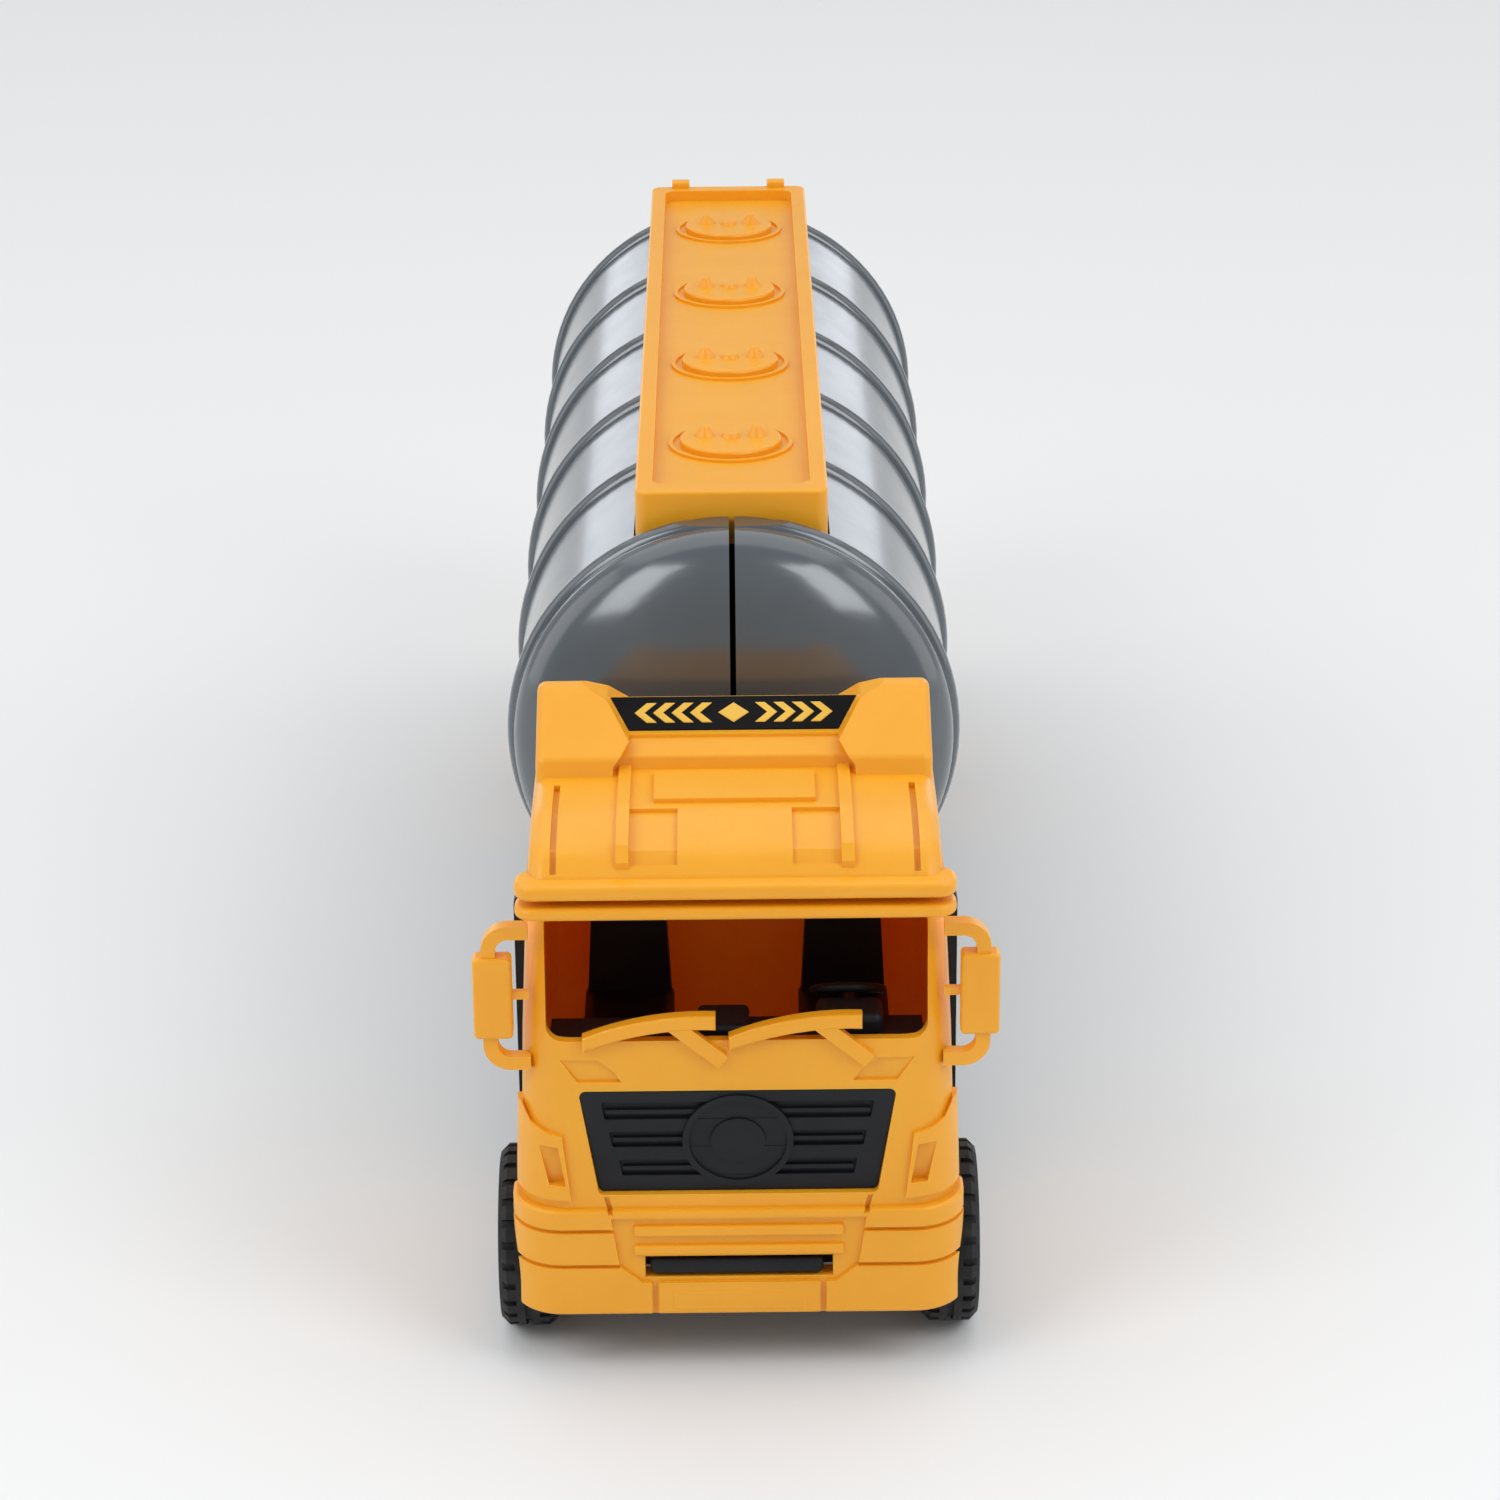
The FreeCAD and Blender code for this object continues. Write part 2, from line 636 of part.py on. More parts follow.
def hatch(y, floor_z):
    """A manhole cover in relief: a thin ring, a crowned disc, two clamp lugs and a middle knob."""
    base = V(0, y, floor_z - 0.3)
    ring = Part.makeCylinder(hatch_ring_radius, hatch_ring_height + 0.3, base).cut(
        Part.makeCylinder(hatch_ring_radius - hatch_ring_width, hatch_ring_height + 1, base))
    disc = Part.makeCylinder(hatch_radius, hatch_height + 0.3, base)
    disc = disc.makeFillet(0.7, [e for e in disc.Edges if abs(e.BoundBox.ZMin - floor_z - hatch_height) < 1e-6])
    top = floor_z + hatch_height
    knob = Part.makeCone(2.3, 1.7, 1.1, V(0, y, top - 0.2))
    lugs = [Part.makeCone(2.6, 0.9, 2.5, V(x, y + 1.0, top - 0.3)) for x in (-5.6, 5.6)]
    return [ring, disc, knob] + lugs


# ---------------------------------------------------------------- cab
face_ys = [(bumper_top_z - 1, front_y + face_lean_low), (belt_z, front_y + face_lean_belt),
           (cab_top_z, front_y + face_lean_top)]


def face_y(z):
    """The cab face's y at a height above the bumper."""
    for (z0, y0), (z1, y1) in zip(face_ys, face_ys[1:]):
        if z <= z1:
            return y0 + (y1 - y0) * (z - z0) / (z1 - z0)
    return face_ys[-1][1]


def cab_sections(inset, top):
    halves = [cab_half_width_low, cab_half_width_belt, cab_half_width_top]
    rows = []
    for (z, y), half in zip(face_ys, halves):
        rows.append((z, half - inset, y + inset, cab_rear_y - inset, cab_corner - inset, cab_rear_corner))
    last = rows[-1]
    rows[-1] = (top,) + last[1:]
    return rows


def cab_body():
    upper = tapered(cab_sections(0, cab_top_z))
    waist_z = face_ys[0][0]
    lower = tapered([(z, cab_half_width_low, front_y + 6, cab_rear_y, cab_rear_corner, cab_rear_corner)
                     for z in (ground_clearance, waist_z)])
    bumper_rear = front_axle_y - 12.0
    bumper = tapered([
        (ground_clearance, bumper_half_width, front_y, bumper_rear, cab_corner, 1.0),
        (bumper_top_z, bumper_half_width - 0.3, front_y, bumper_rear, cab_corner, 1.0),
    ])
    rounded = [e for e in bumper.Edges if e.BoundBox.YMin < bumper_rear - 1 and any(
        all(abs(v.Z - z) < 1e-6 for v in e.Vertexes) for z in (ground_clearance, bumper_top_z))]
    bumper = bumper.makeFillet(0.8, rounded)
    lip = cab_lip(cab_top_z - lip_thickness, cab_top_z)
    outer = fused([upper, lower, bumper, lip])
    hollow_low = tapered([(z, cab_half_width_low - wall, front_y + 8.5, cab_rear_y - wall, cab_rear_corner,
                           cab_rear_corner) for z in (ground_clearance - 1, waist_z)])
    hollow = fused([hollow_low, tapered(cab_sections(wall, cab_top_z + 1))])
    body = outer.cut(hollow)
    body = body.cut(Part.makeCompound(cab_cuts()))
    return fused([body] + cab_relief() + cab_ledges())


def cab_ledges():
    """Ledges inside the cab, front and back, by which it stands on its floor."""
    z0 = deck_top_z + floor_thickness
    half = floor_half_width - 1
    return [
        box(x, x + half - 12.0, front_y + 7.5, ledge_rear_y, z0, z0 + 2) for x in (-half, 12.0)
    ] + [
        box(-half, half, cab_rear_y - wall - 6.0, cab_rear_y - wall + 0.5, z0, z0 + 2),
    ]


def cab_lip(z0, z1):
    """One of the two rounded lips of the visor, round the front of the cab where the roof meets the body."""
    plate = tapered([(z, lip_half_width, front_y, front_y + lip_reach, lip_corner, lip_corner) for z in (z0, z1)])
    rounding = min(1.1, (z1 - z0) * 0.42)
    edges = [e for e in plate.Edges if all(abs(v.Z - z0) < 1e-6 for v in e.Vertexes)
             or all(abs(v.Z - z1) < 1e-6 for v in e.Vertexes)]
    return plate.makeFillet(rounding, edges)


def grille_outline(gap):
    return [
        (-grille_top_half_width + gap, grille_top_z - gap),
        (grille_top_half_width - gap, grille_top_z - gap),
        (grille_bottom_half_width - gap, grille_bottom_z + gap),
        (-grille_bottom_half_width + gap, grille_bottom_z + gap),
    ]


intake_half_width = 18.1
intake_z0, intake_z1 = 21.9, 26.4
door_front_y = front_axle_y + 3.0
door_rear_y = cab_rear_y - 6.0


def cab_cuts():
    cuts = []
    face_deep = front_y + 14
    screen = [(-windscreen_half_width, windscreen_bottom_z), (windscreen_half_width, windscreen_bottom_z),
              (windscreen_half_width, windscreen_top_z), (-windscreen_half_width, windscreen_top_z)]
    cuts.append(front_prism(screen, front_y - 2, face_deep, 2.6))
    cuts.append(front_prism(grille_outline(0), front_y - 2, face_deep, 1.2))
    cuts.append(box(-intake_half_width, intake_half_width, front_y - 2, face_deep, intake_z0, intake_z1))
    arch_radius = wheel_radius + 3.2
    arch = rod(V(-60, front_axle_y, wheel_radius + 0.5), V(60, front_axle_y, wheel_radius + 0.5), arch_radius)
    cuts.append(arch)
    cuts.append(box(-60, 60, front_axle_y - arch_radius, front_axle_y + arch_radius, 0, wheel_radius + 0.5))
    cuts.append(box(-60, 60, front_axle_y, cab_rear_y + 1, 0, ground_clearance + 6))
    cuts.append(box(-deck_half_width - 0.2, deck_half_width + 0.2, cab_rear_y - 5, cab_rear_y + 1, 0, deck_top_z))
    # bumper: centre set back between the corner blocks, grooves round the corners, seams beside the plate
    deep = 0.9
    cuts.append(front_prism([(-24.5, bumper_top_z - 1.6), (24.5, bumper_top_z - 1.6), (23.0, 24.6), (18.6, 21.0),
                             (-18.6, 21.0), (-23.0, 24.6)], front_y - 1, front_y + deep, 0))
    for z in (31.8, 24.2):
        groove = bumper_groove(z)
        cuts += on_both_sides(groove)
    cuts += on_both_sides(box(15.6, 16.8, front_y - 1, front_y + 0.9, 0, 21.2))
    # lamps: slot in each corner panel and a sloping lens recess under each end of the wipers
    for sign in (1, -1):
        slot = [(sign * 38.0, 49.5), (sign * 34.4, 49.5), (sign * 33.0, 41.6), (sign * 36.2, 41.6)]
        cuts.append(front_prism(slot, front_y - 2, front_y + 3.4, 0))
        lens = [(sign * x, z) for x, z in ((33.6, 67.2), (26.6, 67.2), (23.4, 64.8), (22.0, 62.6), (30.4, 62.6))]
        cuts.append(front_prism(lens, front_y - 2, face_y(65.0) + 0.6, 0))
        seam = [(sign * 25.8, 38.9), (sign * 24.8, 38.9), (sign * 24.0, 35.8), (sign * 25.0, 35.8)]
        cuts.append(front_prism(seam, front_y - 2, face_y(38.0) + 0.7, 0))
        cuts += side_cuts(sign)
    return cuts


def bumper_groove(z):
    """A shallow groove round one corner of the bumper."""
    height = 0.9
    outer = tapered([
        (z, bumper_half_width + 3, front_y - 3, front_axle_y, cab_corner + 3, 1.0),
        (z + height, bumper_half_width + 3, front_y - 3, front_axle_y, cab_corner + 3, 1.0),
    ])
    depth = 0.9
    inner = tapered([
        (z - 1, bumper_half_width - depth, front_y + depth, front_axle_y + 2, cab_corner - depth, 1.0),
        (z + height + 1, bumper_half_width - depth, front_y + depth, front_axle_y + 2, cab_corner - depth, 1.0),
    ])
    inner_x = 23.0
    return outer.cut(inner).common(box(inner_x, 60, front_y - 5, front_axle_y - 8, z - 1, z + 2))


def side_cuts(sign):
    """The window relief, door seam and handle recess on one side, cut a little into the wall."""
    depth = 0.7
    low = cab_half_width_belt

    def slab(outline, radius, x):
        face = Part.Face(rounded_wire([V(sign * (x - depth), y, z) for y, z in outline], radius))
        return face.extrude(V(sign * 6, 0, 0))

    window = [(door_front_y - 10, 74.0), (door_rear_y - 3, 74.0), (door_rear_y - 3, 93.0),
              (door_front_y - 2, 93.0)]
    seam_outer = [(door_front_y - 14, 46.0), (door_rear_y, 46.0), (door_rear_y, 95.5), (door_front_y - 4, 95.5),
                  (door_front_y - 14, 74.0)]
    seam_inner = [(door_front_y - 13.2, 46.8), (door_rear_y - 0.8, 46.8), (door_rear_y - 0.8, 94.7),
                  (door_front_y - 3.4, 94.7), (door_front_y - 13.2, 73.8)]
    window_cut = slab(window, 2.0, cab_half_width_top + 0.5)
    seam = slab(seam_outer, 1.5, cab_half_width_top).cut(slab(seam_inner, 1.0, cab_half_width_top - 3))
    grip_y0, grip_y1 = door_rear_y - 13, door_rear_y - 4
    recess = slab([(grip_y0, 62.0), (grip_y1, 62.0), (grip_y1, 66.5), (grip_y0, 66.5)], 1.0, low - 0.1)
    return [window_cut, seam, recess]


def cab_relief():
    """Raised detail on the cab: bumper bars, plate, corner panels, wipers, door handles and steps."""
    relief = []
    bar_half = 20.2
    for z0, z1 in ((31.0, 33.2), (26.9, 29.0)):
        relief.append(soft_box(-bar_half, bar_half, front_y - 0.1, front_y + 3, z0, z1, 0.5))
    plate_z = ground_clearance + 1.0
    relief.append(soft_box(-13.0, 13.0, front_y - 0.1, front_y + 3, plate_z, plate_z + 4.2, 0.4))
    for sign in (1, -1):
        relief.append(corner_panel(sign))
        relief.append(door_handle(sign))
    relief += wipers()
    return relief


def corner_panel(sign):
    """The raised lamp panel that wraps round each front corner above the bumper."""
    proud = 0.9
    z0, z1 = 38.6, 56.0
    rows = []
    for z in (z0, z1):
        share = (z - bumper_top_z) / (belt_z - bumper_top_z)
        half = cab_half_width_low + (cab_half_width_belt - cab_half_width_low) * share
        rows.append((z, half, face_y(z)))
    outer = tapered([(z, half + proud, y - proud, front_axle_y + 6, cab_corner + proud, 1.0)
                     for z, half, y in rows])
    inner = tapered([(z, half - 0.5, y + 0.5, front_axle_y + 8, cab_corner - 0.5, 1.0) for z, half, y in rows])
    band = outer.cut(inner)
    window = front_prism(
        [(sign * 32.0, z0), (sign * 33.6, 51.8), (sign * 36.5, 52.2), (sign * 39.5, 53.4), (sign * 41.2, z1),
         (sign * 60, z1), (sign * 60, z0)], front_y - 5, front_axle_y - 13)
    slot = front_prism([(sign * 38.0, 49.5), (sign * 34.4, 49.5), (sign * 33.0, 41.6), (sign * 36.2, 41.6)],
                       front_y - 5, front_y + 3.4, 0)
    return band.common(window).cut(slot)


def door_handle(sign):
    x = cab_half_width_belt
    bar = box(x - 1.2, x + 0.5, door_rear_y - 12, door_rear_y - 5, 63.6, 65.0)
    return bar if sign > 0 else mirrored(bar)


def wipers():
    """Two wipers moulded on the face: a curved blade that reaches over the windscreen, and its arm."""
    y_of = face_y(windscreen_bottom_z)
    y0, y1 = y_of - 1.7, y_of + 1.0
    blade_height = 3.0
    made = []
    for x in (-29.3, -1.6):
        start, middle, end = (x, 70.8), (x + 11.5, 74.2), (x + 25.3, 75.2)
        lower = [V(px, y0, pz - blade_height / 2) for px, pz in (start, middle, end)]
        upper = [V(px, y0, pz + blade_height / 2) for px, pz in (start, middle, end)]
        wire = Part.Wire(Part.__sortEdges__([
            Part.Arc(*lower).toShape(), Part.Arc(*upper).toShape(),
            Part.LineSegment(lower[0], upper[0]).toShape(), Part.LineSegment(lower[2], upper[2]).toShape()]))
        blade = Part.Face(wire).extrude(V(0, y1 - y0, 0))
        edges = [e for e in blade.Edges if all(abs(v.Y - y0) < 1e-6 for v in e.Vertexes)]
        blade = blade.makeFillet(0.6, edges)
        arm_outline = [(x + 15.2, 74.6), (x + 19.6, 74.8), (x + 27.6, 68.2), (x + 25.8, 65.8)]
        arm = front_prism(arm_outline, y0 + 0.15, face_y(66.0) + 0.6, 0.3)
        made += [blade, arm]
    return made


def mirror(sign):
    """A rear-view mirror on a hooped bracket."""
    y = face_y(85.0) + 2.0
    y0, y1 = y - 1.5, y + 1.5
    x_in, x_out = 39.2, 48.1
    z0, z1 = 64.2, 94.0
    thick = 2.7
    outer = [(x_in, z0), (x_out, z0), (x_out, z1), (x_in, z1)]
    inner = [(x_in - 2, z0 + thick), (x_out - thick, z0 + thick), (x_out - thick, z1 - thick),
             (x_in - 2, z1 - thick)]
    opening = front_prism(inner, y0 - 1, y1 + 1, [0, 2.6, 2.6, 0])
    hoop = front_prism(outer, y0, y1, [0, 5.2, 5.2, 0]).cut(opening)
    head = soft_box(42.4, 49.8, y0 - 0.9, y1 + 0.7, 70.9, 87.6, 0.9)
    link = box(x_in, 43.0, y0 + 0.8, y1 - 0.8, 78.6, 80.2)
    halves = (cab_half_width_low, cab_half_width_belt, cab_half_width_top)
    cab_outside = tapered([(z, half + 0.02, face - 0.02, cab_rear_y, cab_corner, cab_rear_corner)
                           for (z, face), half in zip(face_ys, halves)])
    made = fused([hoop, head, link]).cut(cab_outside)
    return made if sign > 0 else mirrored(made)


horn_scoop_low = 20.3          # half widths between the horns, at the sign's two edges and at their tops
horn_scoop_middle = 24.6
horn_scoop_high = 28.9
sign_low = (front_y + 46.6, roof_top_z + sign_low_rise)
sign_high = (front_y + 51.8, roof_top_z + sign_high_rise)
horn_foot_y = front_y + 36.4
centre_foot_y = front_y + 40.4


def cab_roof():
    lip = cab_lip(roof_base_z, roof_base_z + lip_thickness + 0.6)
    crown = side_prism(roof_outline(0, roof_base_z + 0.5), roof_half_width, [0, 2.0, 10.0, 30.0, 0, 0])
    crown = crown.makeFillet(roof_edge_round, roof_side_edges(crown, roof_half_width))
    outer = fused([lip, crown, deflector_horns(), deflector_centre(), roof_spacer()])
    hollow = side_prism(roof_outline(wall, roof_base_z - 1), roof_half_width - wall, [0, 2.0, 8.0, 28.0, 0, 0])
    under_sign = sign_low[1] - wall - 0.4
    deflector_hollow = side_prism([(front_y + 44.0, roof_top_z - wall - 1), (front_y + 49.0, under_sign),
                                   (cab_rear_y - 17.0, under_sign), (cab_rear_y - 8.0, roof_top_z - wall - 1)],
                                  roof_half_width - wall - 2.0)
    inset = 2 * wall
    spigot_hollow = tapered([(z, cab_half_width_top - inset, face_y(cab_top_z) + inset, cab_rear_y - inset,
                              cab_corner - inset, 1.0) for z in (cab_top_z - 3, roof_base_z + 4)])
    roof = outer.cut(fused([hollow, deflector_hollow, spigot_hollow]))
    roof = roof.cut(Part.makeCompound(roof_cuts() + [sign_plate(0.0)]))
    return fused([roof] + roof_relief())


def deflector_horns():
    """The deflector's two ends: they lean back from a steep foot to a rounded crest, a scoop between them."""
    base_z = roof_top_z - 1.5
    half = roof_half_width - 0.4
    side_view = [(horn_foot_y, base_z), (horn_foot_y + 1.6, roof_top_z + 3.0),
                 (front_y + 53.6, deflector_top_z), (front_y + 56.2, deflector_top_z), (cab_rear_y - 2.0, base_z)]
    block = side_prism(side_view, half, [0, 1.8, 3.0, 2.0, 0])
    long_edges = []
    for e in block.Edges:
        b = e.BoundBox
        if b.XLength < 1e-6 and abs(abs(b.XMin) - half) < 1e-6 and b.ZMax > base_z + 0.5 and b.YLength > 0.2:
            long_edges.append(e)
    block = block.makeFillet(1.8, long_edges)
    low_z, high_z = roof_top_z + sign_low_rise, deflector_top_z + 1.5
    crest_z = roof_top_z + sign_high_rise
    scoop = front_prism([(-horn_scoop_low, low_z), (horn_scoop_low, low_z), (horn_scoop_middle, crest_z),
                         (horn_scoop_high + 4.0, high_z), (-horn_scoop_high - 4.0, high_z),
                         (-horn_scoop_middle, crest_z)], front_y + 20, cab_rear_y + 1,
                        [0, 0, 2.0, 0, 0, 2.0])
    gap = front_prism([(-horn_scoop_low - 3.4, base_z - 1), (horn_scoop_low + 3.4, base_z - 1),
                       (horn_scoop_low + 3.0, roof_top_z + 1.6), (horn_scoop_low, low_z + 0.1),
                       (-horn_scoop_low, low_z + 0.1), (-horn_scoop_low - 3.0, roof_top_z + 1.6)],
                      front_y + 20, centre_foot_y + 5.0)
    return block.cut(scoop).cut(gap)


def deflector_centre():
    """The part between the horns: a low wall, a narrow shelf, and the slope that carries the sign."""
    base_z = roof_top_z - 1.5
    outline = [(centre_foot_y, base_z), (centre_foot_y + 0.9, roof_top_z + 2.1), sign_low, sign_high,
               (sign_high[0] + 0.6, sign_high[1]), (cab_rear_y - 2.4, base_z)]
    return side_prism(outline, horn_scoop_high - 1.5, [0, 0.9, 0, 0, 0.3, 0])


def roof_spacer():
    """The roof's collar: it stands on the body's top edge and its lower part plugs into the body."""
    collar_inset = 0.9
    y0 = face_y(cab_top_z)
    collar = tapered([(z, cab_half_width_top - collar_inset, y0 + collar_inset, cab_rear_y - collar_inset,
                       cab_corner - collar_inset, 2.0) for z in (cab_top_z, roof_base_z + 0.5)])
    plug_inset = wall + 0.3
    plug = tapered([(z, cab_half_width_top - plug_inset, y0 + plug_inset, cab_rear_y - plug_inset,
                     cab_corner - plug_inset, 1.0) for z in (cab_top_z - 2.2, cab_top_z + 0.2)])
    return fused([collar, plug])


def roof_outline(inset, base_z):
    """The roof's side view: steep above the visor, then flattening towards the deflector."""
    return [
        (front_y + 3.6 + inset, base_z),
        (front_y + 3.6 + inset, roof_base_z + lip_thickness + 0.6 - inset * 0.4),
        (front_y + 8.2 + inset * 0.8, roof_top_z - 2.8 - inset),
        (front_y + 21.0 + inset * 0.3, roof_top_z - 0.4 - inset),
        (cab_rear_y - inset, roof_top_z - inset),
        (cab_rear_y - inset, base_z),
    ]


def roof_side_edges(shape, half_width):
    """The upper edges along the two sides of a side prism."""
    edges = []
    for e in shape.Edges:
        box_of = e.BoundBox
        if abs(box_of.XMin - box_of.XMax) < 1e-6 and abs(abs(box_of.XMin) - half_width) < 1e-6:
            if box_of.ZMax > roof_base_z + lip_thickness + 3 and box_of.YLength > 1.5:
                edges.append(e)
    return edges


def roof_band(x0, x1, y0, y1, outer_inset, inner_inset):
    """A strip that follows the roof between two depths below its surface; a negative depth is above it."""
    outer = side_prism(roof_outline(outer_inset, roof_base_z), x1, x_from=x0)
    inner = side_prism(roof_outline(inner_inset, roof_base_z - 1), x1 + 1, x_from=x0 - 1)
    return outer.cut(inner).common(box(x0, x1, y0, y1, roof_base_z, deflector_top_z))


def roof_cuts():
    cuts = on_both_sides(roof_band(33.4, 34.6, front_y + 4.4, front_y + 33.0, -6.0, 1.1))
    return cuts + on_both_sides(roof_band(10.8, 19.9, front_y + 5.6, front_y + 21.5, -6.0, 0.9))


def roof_relief():
    """Two rails and a cross bar on the roof, in front of the deflector."""
    relief = on_both_sides(roof_band(19.9, 22.3, front_y + 5.0, centre_foot_y + 1.0, -0.9, 0.6))
    return relief + [roof_band(-15.4, 15.4, front_y + 24.0, front_y + 37.6, -0.9, 0.6)]


def sign_plate(gap):
    """The black panel that leans back in the deflector's scoop, as the solid between two offset planes."""
    (y0, z0), (y1, z1) = sign_low, sign_high
    length = math.hypot(y1 - y0, z1 - z0)
    ny, nz = -(z1 - z0) / length, (y1 - y0) / length
    inner, outer = -1.0, 0.25
    points = []
    low_half, high_half = horn_scoop_low + 0.1 - gap, horn_scoop_middle - 0.5 - gap
    ty, tz = (y1 - y0) / length, (z1 - z0) / length
    start, end = 0.3 + gap, length + 0.2 - gap
    for along, half in ((start, low_half), (end, high_half)):
        y, z = y0 + ty * along, z0 + tz * along
        points.append((y, z, half))
    (ya, za, ha), (yb, zb, hb) = points
    corners = [V(-ha, ya, za), V(ha, ya, za), V(hb, yb, zb), V(-hb, yb, zb)]
    normal = V(0, ny, nz)
    face = Part.Face(Part.makePolygon([c + normal * inner for c in corners + corners[:1]]))
    return face.extrude(normal * (outer - inner))


def grille():
    """The black radiator grille: a frame, three rows of sunk bars and a plain round badge."""
    y0 = face_y(grille_top_z) + 0.3
    y_mid = (face_y(grille_top_z) + face_y(grille_bottom_z)) / 2
    front = y_mid + 0.7
    plate = front_prism(grille_outline(fit_gap), front, front + 3.0, 1.1)
    rows = ((54.8, 58.4, 26.0), (48.9, 52.2, 24.6), (42.8, 46.2, 22.8))
    cuts = []
    for z0, z1, half in rows:
        slot = [(-half, z1), (half, z1), (half - 0.6, z0), (-half + 0.6, z0)]
        cuts.append(front_prism(slot, front - 1, front + 1.0, 0.4))
    plate = plate.cut(Part.makeCompound(cuts))
    rims = []
    for z0, z1, half in rows:
        rims.append(box(-half + 0.8, half - 0.8, front + 0.2, front + 1.5, z0 + 1.1, z0 + 1.9))
    badge_z = (grille_top_z + grille_bottom_z) / 2 + 0.2
    badge = ellipse_prism(10.6, 9.6, badge_z, front - 0.5, front + 2)
    well = ellipse_prism(9.4, 8.4, badge_z, front - 1, front + 0.1)
    boss = ellipse_prism(5.2, 4.6, badge_z, front - 0.4, front + 0.6)
    flange_y = front_y + face_lean_belt + wall + 0.1
    wide, narrow = grille_top_half_width + 1.5, grille_bottom_half_width + 1.5
    flange = front_prism([(-wide, grille_top_z + 1.5), (wide, grille_top_z + 1.5),
                          (narrow, grille_bottom_z - 1.0), (-narrow, grille_bottom_z - 1.0)],
                         flange_y, flange_y + 1.4, 1.0)
    return fused([plate] + rims + [badge.cut(well), boss, flange])


def ellipse_prism(half_x, half_z, z, y0, y1):
    ellipse = Part.Ellipse(V(half_x, y0, z), V(0, y0, z + half_z), V(0, y0, z))
    return Part.Face(Part.Wire(ellipse.toShape())).extrude(V(0, y1 - y0, 0))


def lower_intake():
    half = intake_half_width
    back = box(-half - 2, half + 2, front_y + 8.6, front_y + 10.2, intake_z0 - 1.5, intake_z1 + 1.5)
    bar = soft_box(-half + 0.9, half - 1.8, front_y + 0.6, front_y + 9.4, intake_z0 + 0.35, intake_z1 - 0.7, 1.2)
    return fused([back, bar])


# ---------------------------------------------------------------- inside the cab
def cab_floor():
    y0, y1 = front_y + 10.5, cab_rear_y - wall - 0.3
    half = floor_half_width
    outline = [(-half, y0), (half, y0), (half, y1), (-half, y1)]
    plate = plan_prism(outline, deck_top_z, deck_top_z + floor_thickness, 2.0)
    holes = [rod(V(x, y, deck_top_z - 1), V(x, y, deck_top_z + floor_thickness + 1), screw_radius + 0.1)
             for x, y in cab_screw_places]
    return plate.cut(Part.makeCompound(holes))


def seat(sign):
    """A one-piece seat whose base stands on the cab floor, screwed from below."""
    x0, x1 = sign * seat_x - seat_width / 2, sign * seat_x + seat_width / 2
    y0 = front_y + seat_offset
    z0 = deck_top_z + floor_thickness
    base = box(x0 + 1.5, x1 - 1.5, y0 + 1.5, y0 + 19, z0, 50.0)
    cushion = soft_box(x0, x1, y0, y0 + 20, 49.0, 56.0, 1.8)
    back_outline = [(x0 + 0.4, 52.0), (x1 - 0.4, 52.0), (x1 - 1.6, seat_top_z - 9), (x1 - 3.0, seat_top_z),
                    (x0 + 3.0, seat_top_z), (x0 + 1.6, seat_top_z - 9)]
    back = front_prism(back_outline, y0 + 15.5, y0 + 21.5, [0.5, 0.5, 2.0, 2.0, 2.0, 2.0])
    whole = fused([base, cushion, back])
    bores = [screw_bore(x, y) for x, y in cab_screw_places if x * sign > 0]
    return whole.cut(Part.makeCompound(bores))


dash_front_y = front_y + 7.6
dash_top_z = 69.4
binnacle_rear_y = dash_front_y + 10.5
ledge_rear_y = front_y + 16.0


def dashboard():
    """The dashboard, on a pedestal, with a block in the middle and a raised binnacle in front of the driver."""
    y0 = dash_front_y
    half = windscreen_half_width - 0.6
    shelf = side_prism([(y0, dash_top_z - 8.5), (y0 + 9, dash_top_z - 8.5), (y0 + 12, dash_top_z - 3.6),
                        (y0 + 10, dash_top_z), (y0, dash_top_z)], half, 0.8)
    block = soft_box(-7.5, 2.4, y0 + 0.6, y0 + 11.0, dash_top_z - 5, dash_top_z + 2.4, 1.2)
    pedestal = box(-9.0, 9.0, ledge_rear_y + 0.2, y0 + 11.4, deck_top_z + floor_thickness, dash_top_z - 6.0)
    binnacle = soft_box(seat_x - 6.4, seat_x + 6.4, y0 + 1.5, binnacle_rear_y, dash_top_z - 5,
                        dash_top_z + 4.0, 1.6)
    return fused([shelf, block, pedestal, binnacle])


def steering_wheel():
    """A three-spoke wheel on a short column from the dashboard, nearly as flat as a lorry's."""
    centre = V(seat_x, dash_front_y + 17.4, dash_top_z + 1.8)
    axis = V(0, 0.5, math.sqrt(0.75))
    rim_radius = 6.6
    rim = Part.makeTorus(rim_radius, 0.95, centre, axis)
    boss = rod(centre - axis * 1.2, centre + axis * 0.6, 2.0)
    spokes = []
    for angle in (90.0, 210.0, 330.0):
        tip = V(math.cos(math.radians(angle)), math.sin(math.radians(angle)), 0)
        tip = (tip - axis * tip.dot(axis)).normalize()
        spokes.append(rod(centre, centre + tip * (rim_radius - 0.5), 0.8))
    column = rod(centre, V(seat_x, binnacle_rear_y, centre.z), 1.3)
    return fused([rim, boss, column] + spokes)


# ---------------------------------------------------------------- behind and beside the cab
panel_half_width = 45.7
side_box_x = 46.2
side_box_y0 = cab_rear_y + 5.0
side_box_lengths = (52.0, 38.0)


